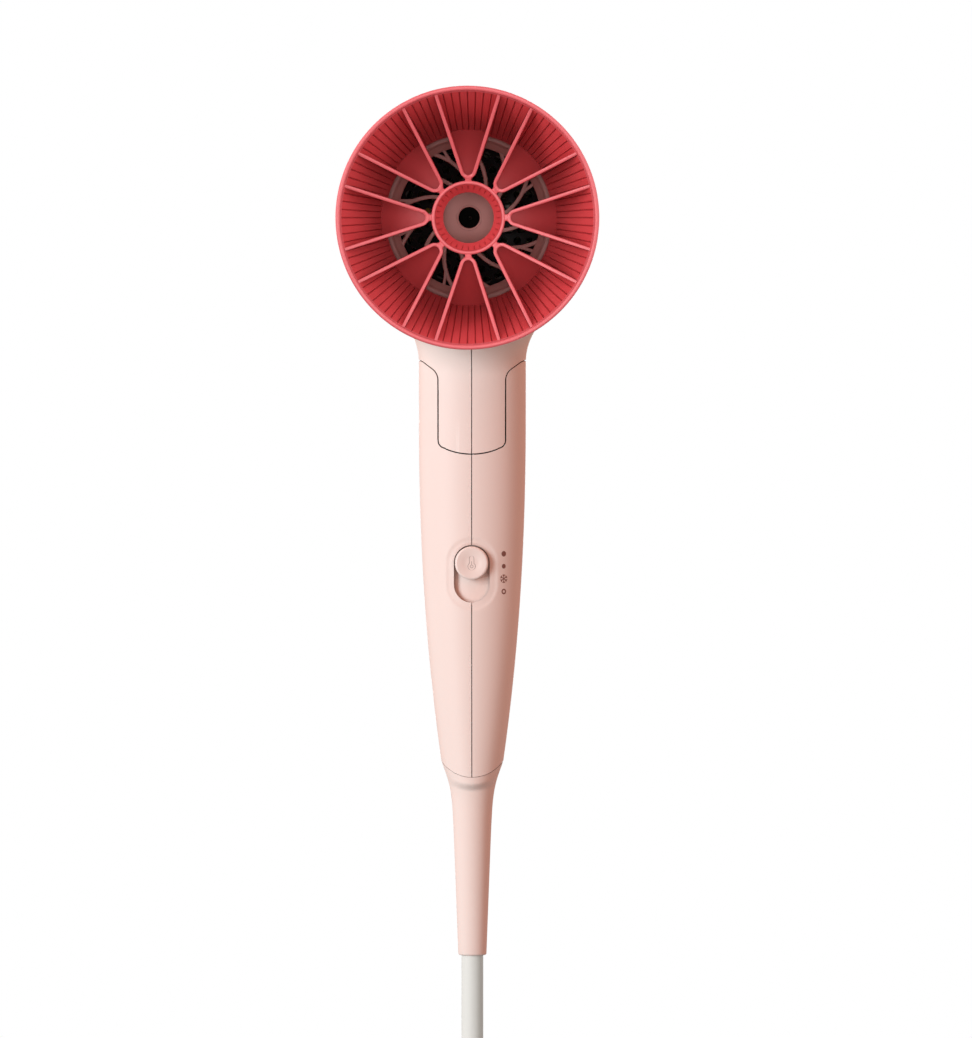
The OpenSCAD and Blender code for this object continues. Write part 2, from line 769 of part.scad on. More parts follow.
// Axial impeller: a cup-shaped hub with flat pitched blades
module impeller() {
    tip = impeller_d / 2;
    color("ivory") about_head() {
        difference() {
            translate([0, 0, fan_back]) cylinder(d = impeller_hub_d, h = blade_long);
            translate([0, 0, fan_back + 3]) cylinder(d = impeller_hub_d - 4, h = blade_long);
            translate([0, 0, fan_back - 1]) cylinder(d = shaft_d, h = 6);
        }
        for (i = [0:blades - 1]) rotate([0, 0, 360 * i / blades]) intersection() {
            translate([impeller_hub_d / 2 - 1, 0, fan_back + blade_long / 2]) rotate([40, 0, 0])
                translate([0, -8, -0.6]) cube([tip, 16, 1.2]);
            tube(tip, impeller_hub_d / 2 - 0.6, fan_back + 0.4, fan_back + blade_long - 0.4);
        }
    }
}

// ---------- Heater ----------

board_r = heater_r - 5;
mica_t = 0.8;
module heater_sleeve() {
    color("tan") about_head() tube(heater_r + 0.6, heater_r, heater_back, heater_back + heater_len);
}

// One mica board of the cross: narrow where the wire goes round it, wide at its two ends
module mica(notch_from, notch_to) {
    difference() {
        union() {
            translate([-board_r, -mica_t / 2, heater_back]) cube([2 * board_r, mica_t, heater_len]);
            for (s = [heater_back, heater_back + heater_len - 2])
                translate([-heater_r + 0.1, -mica_t / 2, s]) cube([heater_d - 0.2, mica_t, 2]);
        }
        translate([-mica_t / 2, -1, notch_from]) cube([mica_t, 2, notch_to - notch_from]);
    }
}
heater_mid = heater_back + heater_len / 2;
// The ends of the boards clear the motor and the ion nozzle that stand on the axis
module axis_clear() {
    translate([0, 0, heater_back - 1]) cylinder(r = motor_d / 2 + 1, h = max(motor_front + 3 - heater_back, 1));
    translate([0, 0, nozzle_back - 0.4]) cylinder(r = nozzle_r + 0.3, h = far);
}
module heater_board_flat() {
    color("wheat") about_head() difference() {
        mica(heater_mid, heater_back + heater_len + 1);
        axis_clear();
    }
}
module heater_board_upright() {
    color("wheat") about_head() difference() {
        rotate([0, 0, 90]) mica(heater_back - 1, heater_mid);
        axis_clear();
    }
}

// Heating wire wound round the cross, as a swept strand
coil_r = board_r + coil_wire_d / 2 + 0.1;
coil_sides = 6;
coil_steps = 18;
function coil_ring(k) = let (
        t = 360 * k / coil_steps,
        s = heater_back + 4 + (heater_len - 8) * k / (coil_turns * coil_steps))
    [for (i = [0:coil_sides - 1]) let (
            u = 360 * i / coil_sides,
            r = coil_r / cos(180 / coil_steps) + coil_wire_d / 2 * cos(u))
        [r * cos(t), r * sin(t), s + coil_wire_d / 2 * sin(u)]];
module heater_coil() {
    color("dimgray") about_head() skin([for (k = [coil_turns * coil_steps:-1:0]) coil_ring(k)]);
}

module thermostat() {
    color("silver") about_head() translate([13, mica_t / 2, heater_mid + 4]) rotate([-90, 0, 0])
        cylinder(d = 9, h = 4);
}
module thermal_fuse() {
    color("gold") about_head() translate([-15, mica_t / 2 + 1.6, heater_mid - 4]) cylinder(d = 3.2, h = 11);
}

// ---------- Outlet ----------

grille_front = collar_end - 1;
hub_front = collar_end - 0.4;
nozzle_r = 6;
nozzle_back = grille_back - 8;

// One vane, as a strip that turns steadily with radius
vane_steps = 8;
function vane_line(shift) = [for (i = [0:vane_steps]) let (
        f = i / vane_steps,
        r0 = grille_hub_d / 2 - 0.6,
        r1 = grille_d / 2 - grille_ring_w + 0.8,
        r = r0 + (r1 - r0) * f,
        t = vane_turn * f,
        lean = atan2(r * vane_turn * PI / 180, r1 - r0),
        n = t + lean + 90)
    [r * cos(t) + shift * cos(n), r * sin(t) + shift * sin(n)]];
function reversed(list) = [for (i = [len(list) - 1:-1:0]) list[i]];
module outlet_grille() {
    color("rosybrown") about_head() {
        rotate_extrude($fn = 96) polygon([
            [grille_d / 2 - grille_ring_w, grille_back], [grille_d / 2, grille_back],
            [grille_d / 2, grille_front - 1.2], [grille_d / 2 - 0.6, grille_front],
            [grille_d / 2 - 2, grille_front], [grille_d / 2 - 2.8, grille_front - 0.9],
            [grille_d / 2 - grille_ring_w, grille_front - 2.4]]);
        rotate_extrude() polygon([
            [grille_hub_d / 2 - 1.4, grille_back], [grille_hub_d / 2, grille_back],
            [grille_hub_d / 2, hub_front - 1], [grille_hub_d / 2 - 1, hub_front],
            [ion_hole_d / 2, hub_front - 1.4], [ion_hole_d / 2, hub_front - 3],
            [grille_hub_d / 2 - 1.4, hub_front - 2]]);
        for (i = [0:vanes - 1]) rotate([0, 0, 360 * i / vanes - 1])
            translate([0, 0, grille_back]) linear_extrude(height = grille_front - grille_back - 2.2)
                polygon(concat(vane_line(vane_t / 2), reversed(vane_line(-vane_t / 2))));
    }
}

// Black guard screen between the heater and the vanes, with rings of round holes
screen_t = 0.5;
screen_hole_d = 2.6;
screen_pitch = 4;
module outlet_screen() {
    color("black") about_head() difference() {
        tube(grille_d / 2 - 0.2, nozzle_r + 0.3, grille_back - screen_t - 0.2, grille_back - 0.2);
        for (r = [nozzle_r + screen_pitch:screen_pitch:grille_d / 2 - screen_pitch])
            let (count = floor(2 * PI * r / screen_pitch))
                for (i = [0:count - 1]) rotate([0, 0, 360 * i / count]) translate([r, 0, grille_back - 2])
                    cylinder(d = screen_hole_d, h = 3);
    }
}

module ion_nozzle() {
    color("black") about_head() difference() {
        translate([0, 0, nozzle_back]) cylinder(r = nozzle_r, h = hub_front - 3.2 - nozzle_back);
        translate([0, 0, nozzle_back + 2]) cylinder(d = ion_hole_d + 1, h = 20);
        translate([0, 0, nozzle_back - 1]) cylinder(d = 1.2, h = 6);
    }
}
module ion_needle() {
    color("silver") about_head() {
        translate([0, 0, nozzle_back]) cylinder(d = 1.2, h = 5 + eps);
        translate([0, 0, nozzle_back + 5]) cylinder(d1 = 1.2, d2 = 0.1, h = 3, $fn = 24);
    }
}

// ---------- Diffuser ----------

rim_r = diffuser_d / 2;
rim_s = collar_end + diffuser_deep;
bowl_s = collar_end + 0.6;
bowl_r = bowl_hole_d / 2;
sleeve_in = collar_r + sleeve_fit;
hub_s = rim_s - hub_sunk;
petal_base_r = bowl_r + 1.4;
petal_base_s = bowl_s + (petal_base_r - bowl_r) / (rim_r - diffuser_wall - bowl_r) * (rim_s - bowl_s);
petal_t = 1.2;
tip_d = (14.4 - fin_apex) / (1 - sin(fin_splay));
hub_back = hub_s - 10;

module petal_wedge(grow) {
    reach = petal_base_r + 4;
    intersection() {
        circle(r = petal_base_r + 1);
        union() {
            translate([fin_apex + tip_d, 0]) circle(r = tip_d * sin(fin_splay) + grow);
            difference() {
                translate([fin_apex - grow / sin(fin_splay), 0]) polygon([[0, 0],
                    [reach, reach * tan(fin_splay)], [reach, -reach * tan(fin_splay)]]);
                translate([0, -far / 2]) square([fin_apex + tip_d * pow(cos(fin_splay), 2), far]);
            }
        }
    }
}

module fin_strip(side) {
    start = tip_d * cos(fin_splay);
    translate([fin_apex, 0]) rotate([0, 0, side * fin_splay]) translate([start, -fin_t / 2])
        square([rim_r * 1.2 - start - fin_apex, fin_t]);
}

// Space under the sloping front edges of the fins
module fin_envelope() {
    rotate_extrude($fn = 96) polygon([[0, petal_base_s - 2], [petal_base_r + 0.8, petal_base_s - 2],
        [rim_r - diffuser_wall + 0.4, rim_s - 3], [rim_r - diffuser_wall + 0.4, rim_s - 0.8],
        [hub_ring_d / 2, hub_s - 0.2], [0, hub_s - 0.2]]);
}

module diffuser() {
    color("indianred") about_head() {
        rotate_extrude($fn = 96) polygon([
            [bowl_r, bowl_s], [bowl_r, bowl_s - 0.3], [sleeve_in, bowl_s - 0.3],
            [sleeve_in, bowl_s - collar_len + 2], [sleeve_in + diffuser_wall, bowl_s - collar_len + 2],
            [sleeve_in + diffuser_wall, bowl_s], [rim_r, rim_s - 1], [rim_r - 0.3, rim_s - 0.2],
            [rim_r - 0.8, rim_s], [rim_r - diffuser_wall, rim_s - 0.4],
            [petal_base_r, petal_base_s], [bowl_r, bowl_s]]);
        rotate_extrude() polygon([[hub_hole_d / 2, hub_back], [hub_hole_d / 2 + 1.3, hub_back],
            [hub_ring_d / 2, hub_s - 1], [hub_ring_d / 2 - 0.4, hub_s], [hub_ring_d / 2 - 1.2, hub_s],
            [hub_hole_d / 2, hub_s - 5]]);
        for (i = [0:petals - 1]) rotate([0, 0, 90 + 360 * i / petals]) {
            intersection() {
                translate([0, 0, petal_base_s - 3]) linear_extrude(height = 20) petal_wedge(fin_t / 2);
                petal_cone();
            }
            intersection() {
                fin_envelope();
                translate([0, 0, petal_base_s - 3]) linear_extrude(height = diffuser_deep) {
                    fin_strip(1);
                    fin_strip(-1);
                    petal_rim();
                }
                above_petals();
            }
        }
    }
}

// Bright edging round the petal's tip, with its short neck to the hub ring
module petal_rim() {
    difference() {
        translate([fin_apex + tip_d, 0]) circle(r = tip_d * sin(fin_splay) + fin_t / 2);
        translate([fin_apex + tip_d, 0]) circle(r = tip_d * sin(fin_splay) - fin_t / 2);
        translate([fin_apex + tip_d * pow(cos(fin_splay), 2), -far / 2]) square([far, far]);
    }
    translate([hub_ring_d / 2 - 0.8, -1]) square([14.4 - hub_ring_d / 2 + 0.8, 2]);
}

// Sloping floor of the petals, high at the hub, and the space in front of its back
petal_tip_s = hub_s - 2.5;
module petal_cone() {
    rotate_extrude($fn = 96) polygon([[0, petal_tip_s - petal_t], [hub_ring_d / 2, petal_tip_s - petal_t],
        [petal_base_r + 0.8, petal_base_s - petal_t + 0.4], [petal_base_r + 0.8, petal_base_s + 0.2],
        [hub_ring_d / 2, petal_tip_s], [0, petal_tip_s]]);
}
module above_petals() {
    rotate_extrude($fn = 96) polygon([[0, petal_tip_s - petal_t], [hub_ring_d / 2 - 1, petal_tip_s - petal_t],
        [petal_base_r + 0.8, petal_base_s - petal_t + 0.2], [rim_r, petal_base_s], [rim_r, rim_s],
        [0, rim_s]]);
}

// ---------- Cord ----------

// Route below the strain relief: straight down to the hank, and from the hank down to the plug
cord_route = [[0, 0, 0], [0, 0, -10], [0, 0, -20], [0, 0, -30], [0, 0, -40], [0, 0, -50]];
tail_route = [[0, 32, 0], [0, 32, -8], [0, 32, -16], [0, 32, -24]];
cord_sides = 12;
function cord_ring(p, z0) = [for (i = [0:cord_sides - 1]) let (t = 360 * i / cord_sides)
    [p[0] + cord_d / 2 * cos(t), p[1] + cord_d / 2 * sin(t), p[2] + z0]];

hank_run = 112;
hank_fold_r = 3 * cord_d;
hank_turns = 4;
hank_pitch = 8;
hank_top_z = relief_end_z - 50;
hank_w = 2 * hank_fold_r + cord_d;
hank_deep = hank_turns * hank_pitch + cord_d;
hank_bottom_z = hank_top_z - hank_run - 2 * hank_fold_r - cord_d;

module cord() {
    color("gainsboro") skin([for (p = reversed(cord_route)) cord_ring(p, relief_end_z)]);
}
module cord_hank() {
    color("gainsboro") translate([0, hank_deep - cord_d / 2, 0]) rotate([90, 0, 0])
        linear_extrude(height = hank_deep) {
            for (z = [hank_top_z - hank_w / 2, hank_bottom_z + hank_w / 2])
                translate([0, z]) circle(d = hank_w);
            translate([-hank_w / 2, hank_bottom_z + hank_w / 2])
                square([hank_w, hank_top_z - hank_bottom_z - hank_w]);
        }
}
module cord_tail() {
    color("gainsboro") skin([for (p = reversed(tail_route)) cord_ring(p, hank_bottom_z)]);
}
tie_w = 16;
tie_t = 1.2;
module cord_tie() {
    mid = (hank_top_z + hank_bottom_z) / 2;
    color("dimgray") difference() {
        translate([-hank_w / 2 - tie_t, -cord_d / 2 - tie_t, mid - tie_w / 2])
            cube([hank_w + 2 * tie_t, hank_deep + 2 * tie_t, tie_w]);
        translate([-hank_w / 2, -cord_d / 2, mid - tie_w]) cube([hank_w, hank_deep, 2 * tie_w]);
    }
}

// Two-pin moulded plug with side earth clips, hanging pins down
plug_y = 32;
plug_top_z = hank_bottom_z - 24;
plug_len = 34;
plug_w = 36;
pin_d = 4.8;
pin_len = 19;
pin_apart = 19;
module plug_body() {
    base = plug_top_z - plug_len;
    color("whitesmoke") translate([0, plug_y, 0]) {
        translate([0, 0, plug_top_z - 14]) cylinder(d1 = 15, d2 = 10, h = 14);
        translate([0, 0, base + 12]) cylinder(d1 = 30, d2 = 15, h = plug_len - 26);
        difference() {
            translate([0, 0, base]) cylinder(d = plug_w, h = 12);
            for (side = [-1, 1]) translate([-4, side * plug_w / 2 - 2, base - 1]) cube([8, 4, 14]);
        }
    }
}
module plug_pins() {
    base = plug_top_z - plug_len;
    color("silver") for (side = [-1, 1]) translate([side * pin_apart / 2, plug_y, base - pin_len]) {
        translate([0, 0, 1]) cylinder(d = pin_d, h = pin_len - 1);
        cylinder(d1 = pin_d - 1.6, d2 = pin_d, h = 1);
    }
}
module plug_earth() {
    base = plug_top_z - plug_len;
    color("gold") for (side = [-1, 1])
        translate([-3, plug_y + side * (plug_w / 2 - 1.5) - 0.5, base]) cube([6, 1, 11]);
}

handle_left();
handle_right();
head_left();
head_right();
pivot_screw();
pivot_cap();
hinge_washers();
handle_screw();
screw_plug();
heat_button();
slot_shutter();
switch_body();
control_board();
board_parts();
ion_module();
cord_clamp();
inner_lead();
strain_relief();
rear_cover();
intake_filter();
fan_duct();
motor_case();
motor_cap();
motor_mount();
motor_bearings();
motor_shaft();
impeller();
heater_sleeve();
heater_board_flat();
heater_board_upright();
heater_coil();
thermostat();
thermal_fuse();
ion_nozzle();
ion_needle();
outlet_screen();
outlet_grille();
diffuser();
cord();
cord_hank();
cord_tail();
cord_tie();
plug_body();
plug_pins();
plug_earth();
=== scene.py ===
import json
import math
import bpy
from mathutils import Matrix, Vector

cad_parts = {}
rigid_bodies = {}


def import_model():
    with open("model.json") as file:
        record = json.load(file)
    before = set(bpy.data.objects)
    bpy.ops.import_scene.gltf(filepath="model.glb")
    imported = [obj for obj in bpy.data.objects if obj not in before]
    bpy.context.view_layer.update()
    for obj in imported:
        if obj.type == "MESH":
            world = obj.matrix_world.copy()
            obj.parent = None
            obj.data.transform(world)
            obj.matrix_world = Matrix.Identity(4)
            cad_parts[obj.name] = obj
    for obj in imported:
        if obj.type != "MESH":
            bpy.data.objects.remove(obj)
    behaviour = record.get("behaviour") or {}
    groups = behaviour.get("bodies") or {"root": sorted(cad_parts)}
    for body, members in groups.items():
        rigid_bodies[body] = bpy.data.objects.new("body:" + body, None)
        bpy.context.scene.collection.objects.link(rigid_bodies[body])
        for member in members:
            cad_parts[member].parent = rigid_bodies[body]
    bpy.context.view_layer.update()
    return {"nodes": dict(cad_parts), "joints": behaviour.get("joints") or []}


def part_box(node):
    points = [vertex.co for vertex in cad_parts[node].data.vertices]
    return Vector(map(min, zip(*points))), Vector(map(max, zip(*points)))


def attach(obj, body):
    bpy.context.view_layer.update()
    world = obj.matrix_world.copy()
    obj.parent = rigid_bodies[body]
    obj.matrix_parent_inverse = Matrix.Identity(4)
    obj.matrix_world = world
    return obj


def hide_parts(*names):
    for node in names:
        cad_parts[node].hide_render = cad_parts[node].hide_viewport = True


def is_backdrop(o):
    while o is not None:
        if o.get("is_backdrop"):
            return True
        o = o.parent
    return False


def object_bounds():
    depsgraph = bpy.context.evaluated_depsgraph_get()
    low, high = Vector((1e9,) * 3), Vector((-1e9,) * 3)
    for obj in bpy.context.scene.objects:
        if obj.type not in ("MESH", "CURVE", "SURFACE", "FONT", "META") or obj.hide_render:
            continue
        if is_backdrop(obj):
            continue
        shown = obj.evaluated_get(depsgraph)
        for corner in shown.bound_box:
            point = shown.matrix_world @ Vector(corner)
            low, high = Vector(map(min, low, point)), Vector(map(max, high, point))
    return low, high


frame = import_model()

from types import SimpleNamespace

import bmesh
import bpy
from mathutils import Matrix, Vector

bl_info = {
    "name": "Folding Hair Dryer",
    "version": (1, 0, 0),
    "blender": (4, 5, 0),
    "location": "3D View > Sidebar > Hair Dryer",
    "description": "Mouldings, diffuser, lead and finishes for a folding hair dryer",
    "category": "Object",
}

# Shapes below are worked out in millimetres and turned to metres when a piece is finished.
# +Z is up the handle and -Y is the way the air leaves.
MM = 1000.0
FAR = 200.0


def joint_place(name):
    """Where a joint turns, in millimetres."""
    return Vector(next(j["pos_m"] for j in frame["joints"] if j["name"] == name)) * MM


PIVOT_Z = joint_place("handle_fold").z
HEAD_Z = joint_place("fan_spin").z
COLLAR_END = -joint_place("diffuser_turn").y
CORD_EXIT_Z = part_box("strain_relief")[0].z * MM

# Local z runs forward along the head's axis, or to the right along the fold pivot
ABOUT_HEAD = Matrix.Translation((0, 0, HEAD_Z)) @ Matrix.Rotation(math.radians(90), 4, "X")
ABOUT_PIVOT = Matrix.Translation((0, 0, PIVOT_Z)) @ Matrix.Rotation(math.radians(90), 4, "Y")


def linear(code):
    """Linear colour of an sRGB hex value."""
    parts = [int(code[i:i + 2], 16) / 255 for i in (1, 3, 5)]
    return tuple(c / 12.92 if c <= 0.04045 else ((c + 0.055) / 1.055) ** 2.4 for c in parts)


# ---------- Sizes and colours ----------

def length(name, about, default):
    """A length in metres."""
    return bpy.props.FloatProperty(name=name, description=about, default=default, min=0.0,
                                   precision=5, unit="LENGTH", subtype="DISTANCE")


def number(name, about, default):
    """A count of repeated features."""
    return bpy.props.IntProperty(name=name, description=about, default=default, min=1)


def colour(name, about, code):
    """A colour given as sRGB hex."""
    return bpy.props.FloatVectorProperty(name=name, description=about, default=linear(code),
                                         size=3, min=0.0, max=1.0, subtype="COLOR")


class HandleSizes(bpy.types.PropertyGroup):
    width: length("Width", "Width across the handle at the fold pivot", 0.0369)
    depth: length("Depth", "Depth of the handle at the fold pivot", 0.0276)
    long: length("Length", "From the fold pivot down to the foot seam", 0.1201)
    foot: length("Foot", "Diameter of the round foot", 0.0214)
    taper: bpy.props.FloatProperty(name="Taper", description="How late the handle narrows",
                                   default=2.2, min=1.0)
    wall: length("Wall", "Wall thickness of the mouldings", 0.002)
    arch: length("Arch", "Radius of the arched seam at the foot", 0.0135)
    seam: length("Seam", "Open width of the seam between two halves", 0.0003)
    tab: length("Tab", "Width of the head's tab between the cheeks", 0.0228)
    tab_corner: length("Tab corner", "Radius of the tab's lower corners", 0.0025)
    gap: length("Turning gap", "Free gap round the tab's end and over the shoulders", 0.00042)
    side_gap: length("Side gap", "Free gap between the tab and each cheek", 0.00046)
    shoulder_in: length("Shoulder inside", "Radius of the cheek's shoulder by the tab", 0.0176)
    shoulder_out: length("Shoulder crown", "Largest radius of the cheek's shoulder", 0.0182)
    shoulder_corner: length("Shoulder corner", "Round of the shoulder's corner by the tab", 0.002)
    shoulder_edge: length("Shoulder edge", "Round of the shoulder's outer edge", 0.0025)
    pivot_cap: length("Pivot cap", "Diameter of the cap over the pivot screw", 0.0072)
    screw_plug: length("Screw plug", "Diameter of the plug over the handle screw", 0.0068)
    screw_drop: length("Screw drop", "From the fold pivot down to the handle screw", 0.0956)


class HeadSizes(bpy.types.PropertyGroup):
    barrel: length("Barrel", "Outer diameter of the head", 0.086)
    front: length("Front", "From the pivot to the front shoulder", 0.044)
    back: length("Back", "From the pivot to the rear cover", 0.032)
    shoulder: length("Shoulder", "Radius of the front shoulder", 0.010)
    collar: length("Collar", "Outer diameter of the collar", 0.063)
    blend: length("Blend", "Radius between neck and head, seen from the front", 0.020)
    blend_side: length("Side blend", "Radius between neck and head, seen from the side", 0.012)


class ButtonSizes(bpy.types.PropertyGroup):
    across: length("Button", "Diameter of the sliding button", 0.0115)
    fit: length("Fit", "Clearance of the button in its slot", 0.0004)
    travel: length("Travel", "Travel of the button", 0.0075)
    rise: length("Rise", "Height of the button above the middle of the grip", 0.0235)
    proud: length("Proud", "How far the button stands out", 0.0013)
    hollow: length("Hollow", "Width of the shallow hollow round the slot", 0.0181)
    hollow_deep: length("Hollow depth", "Depth of that hollow at its middle", 0.0007)
    marks_x: length("Marks", "From the seam to the printed marks", 0.011)


class ReliefSizes(bpy.types.PropertyGroup):
    long: length("Length", "Length of the strain relief below the seam", 0.0672)
    end: length("End", "Diameter where the cord leaves it", 0.0097)
    band: length("Band", "Depth of its collar band", 0.0022)
    lip: length("Lip", "Depth of the soft lip under the band", 0.0028)
    flare: length("Flare", "Height over which it spreads to the handle", 0.0072)


class DiffuserSizes(bpy.types.PropertyGroup):
    rim: length("Rim", "Diameter over the rim", 0.089)
    deep: length("Depth", "From the collar to the rim", 0.031)
    wall: length("Wall", "Thickness of the bowl's wall", 0.0016)
    hole: length("Hole", "Diameter of the bowl's opening", 0.0566)
    sleeve: length("Sleeve", "Length of the sleeve on the collar", 0.015)
    petals: number("Petals", "Number of petals", 8)
    splay: bpy.props.FloatProperty(name="Splay", description="Half angle between a petal's fins",
                                   default=math.radians(18.2), subtype="ANGLE")
    apex: length("Apex", "From the axis to where a petal's fins would meet", 0.0088)
    tip: length("Tip", "From the axis to the middle of a petal's round tip", 0.01385)
    fin: length("Fin", "Thickness of a fin", 0.0012)
    ring: length("Hub ring", "Diameter over the hub ring", 0.025)
    bore: length("Hub bore", "Inner diameter of the hub ring", 0.0172)
    sunk: length("Sunk", "How far the hub ring lies behind the rim", 0.016)
    pleats: number("Pleats", "Number of grooves in the wall", 96)
    ticks: number("Ticks", "Number of grooves in the hub ring", 32)
    groove: length("Groove", "Depth of a groove", 0.0005)


class GrilleSizes(bpy.types.PropertyGroup):
    across: length("Ring", "Outer diameter of the ring", 0.0584)
    ring_w: length("Ring width", "Width of the ring", 0.005)
    hub: length("Hub", "Diameter of the hub", 0.019)
    hole: length("Hole", "Diameter of the hole in the hub", 0.0072)
    vanes: number("Vanes", "Number of curved vanes", 13)
    vane: length("Vane", "Thickness of a vane", 0.0014)
    turn: bpy.props.FloatProperty(name="Turn", description="Turn of a vane from hub to ring",
                                  default=math.radians(38), subtype="ANGLE")


class CordSizes(bpy.types.PropertyGroup):
    across: length("Diameter", "Diameter of the cord", 0.0075)
    lead_in: length("Lead in", "Straight length below the strain relief", 0.05)
    run: length("Run", "Straight part of the hank between its folds", 0.112)
    pitch: length("Pitch", "From one turn of the hank to the next", 0.008)
    turns: number("Turns", "Number of full turns in the hank", 4)
    sweep: length("Sweep", "Radius of the bends beside the hank", 0.042)
    tail: length("Tail", "Straight length from the hank to the plug", 0.024)
    strap: length("Strap", "Width of the strap round the hank", 0.0155)


class DryerColours(bpy.types.PropertyGroup):
    shell: colour("Shell", "Blush pink mouldings", "#F6E1D9")
    coral: colour("Coral", "Diffuser", "#DE474B")
    mauve: colour("Mauve", "Outlet grille", "#B57D76")
    jacket: colour("Jacket", "Cord jacket", "#E3E2DE")
    print_ink: colour("Ink", "Printed marks", "#8F5F55")


class StudioSettings(bpy.types.PropertyGroup):
    distance: length("Distance", "From the camera to the handle", 4.0)
    azimuth: bpy.props.FloatProperty(name="Azimuth", description="Camera to the right of front",
                                     default=math.radians(1.0), subtype="ANGLE")
    elevation: bpy.props.FloatProperty(name="Elevation", description="Camera above level",
                                       default=math.radians(1.53), subtype="ANGLE")
    lens: bpy.props.FloatProperty(name="Lens", description="Focal length in millimetres",
                                  default=402.0, min=1.0)
    aim_x: bpy.props.FloatProperty(name="Aim across", description="Middle of the view, across",
                                   default=0.0047, unit="LENGTH", subtype="DISTANCE")
    aim_z: bpy.props.FloatProperty(name="Aim up", description="Middle of the view, up",
                                   default=0.0383, unit="LENGTH", subtype="DISTANCE")
    floor: length("Floor", "Width of the pale floor", 3.0)


GROUPS = {
    "dryer_handle": HandleSizes, "dryer_head": HeadSizes, "dryer_button": ButtonSizes,
    "dryer_relief": ReliefSizes, "dryer_diffuser": DiffuserSizes, "dryer_grille": GrilleSizes,
    "dryer_cord": CordSizes, "dryer_colours": DryerColours, "dryer_studio": StudioSettings,
}


def sizes(context, name):
    """One group's values, with its lengths in millimetres."""
    group = getattr(context.scene, name)
    found = SimpleNamespace()
    for rule in group.bl_rna.properties:
        if rule.identifier not in ("rna_type", "name"):
            value = getattr(group, rule.identifier)
            setattr(found, rule.identifier, value * MM if rule.unit == "LENGTH" else value)
    return found


# ---------- Solids ----------

def solid(points, faces):
    """Closed mesh object in millimetres, with its faces turned outward."""
    mesh = bpy.data.meshes.new("solid")
    mesh.from_pydata(points, [], faces)
    form = bmesh.new()
    form.from_mesh(mesh)
    bmesh.ops.recalc_face_normals(form, faces=form.faces)
    form.to_mesh(mesh)
    form.free()
    obj = bpy.data.objects.new("solid", mesh)
    bpy.context.scene.collection.objects.link(obj)
    return obj


def skin(rings):
    """Solid through rings that all have the same number of points."""
    count, last = len(rings[0]), len(rings) - 1
    points = [p for ring in rings for p in ring]
    faces = [[j * count + i, j * count + (i + 1) % count,
              (j + 1) * count + (i + 1) % count, (j + 1) * count + i]
             for j in range(last) for i in range(count)]
    return solid(points, faces + [list(range(count)), [last * count + i for i in range(count)]])


def even(steps):
    """Angles of a plain turned solid, with no notch in any of them."""
    return [(2 * math.pi * i / steps, 0.0) for i in range(steps)]


def notched(count, half_angle):
    """Angles round a turned solid with count notches, each with a flat land beside it."""
    pitch = 2 * math.pi / count
    return [(k * pitch + offset, deep) for k in range(count)
            for offset, deep in ((-half_angle, 0.0), (0.0, 1.0), (half_angle, 0.0), (pitch / 2, 0.0))]


def turned(outline, angles=None, place=None):
    """Solid turned round z from (radius, height) points, each with a notch depth if it has one."""
    angles = angles or even(160)
    points, rows, faces = [], [], []
    for radius, height, *deep in outline:
        deep = deep[0] if deep else 0.0
        used = angles if radius > 1e-6 else angles[:1]
        rows.append(range(len(points), len(points) + len(used)))
        points += [((radius + deep * notch) * math.cos(t), (radius + deep * notch) * math.sin(t), height)
                   for t, notch in used]
    ends_meet = len(rows[0]) > 1
    for low, high in zip(rows, rows[1:] + (rows[:1] if ends_meet else [])):
        if len(low) > 1 or len(high) > 1:
            for i in range(len(angles)):
                corners = [low[i % len(low)], low[(i + 1) % len(low)],
                           high[(i + 1) % len(high)], high[i % len(high)]]
                faces.append(list(dict.fromkeys(corners)))
    return moved(solid(points, faces), place)


def moved(obj, place):
    """The same object with its mesh moved."""
    if place is not None:
        obj.data.transform(place)
    return obj


def block(low, high):
    """Plain box between two corners, used as a cutter."""
    (x0, y0, z0), (x1, y1, z1) = low, high
    return skin([[(x0, y0, z), (x1, y0, z), (x1, y1, z), (x0, y1, z)] for z in (z0, z1)])


def rod(radius, start, end, place=None, steps=64):
    """Plain cylinder on local z, used as a cutter."""
    return turned([(0, start), (radius, start), (radius, end), (0, end)], even(steps), place)


def through_y(outline, front=-FAR, back=FAR):
    """Solid with a constant outline of (x, z) points between two depths."""
    return skin([[(x, y, z) for x, z in outline] for y in (front, back)])


def combine(how, base, *tools):
    """Boolean of closed solids. The tools are used up."""
    for tool in tools:
        step = base.modifiers.new(how, "BOOLEAN")
        step.operation = how
        step.solver = "MANIFOLD"
        step.object = tool
    evaluated = base.evaluated_get(bpy.context.evaluated_depsgraph_get())
    mesh = bpy.data.meshes.new_from_object(evaluated)
    if not mesh.polygons:
        raise RuntimeError(f"{how} left nothing of a solid")
    base.modifiers.clear()
    old = base.data
    base.data = mesh
    bpy.data.meshes.remove(old)
    for tool in tools:
        bpy.data.meshes.remove(tool.data)
    return base


def join(base, *tools):
    return combine("UNION", base, *tools)


def cut(base, *tools):
    return combine("DIFFERENCE", base, *tools)


def meet(base, *tools):
    return combine("INTERSECT", base, *tools)


def twin(obj):
    """A copy of a solid."""
    made = bpy.data.objects.new("solid", obj.data.copy())
    bpy.context.scene.collection.objects.link(made)
    return made


def halves(obj, seam):
    """The parts of a solid left and right of an open seam."""
    right = twin(obj)
    return (meet(obj, block((-FAR, -FAR, -2 * FAR), (-seam / 2, FAR, 2 * FAR))),
            meet(right, block((seam / 2, -FAR, -2 * FAR), (FAR, FAR, 2 * FAR))))


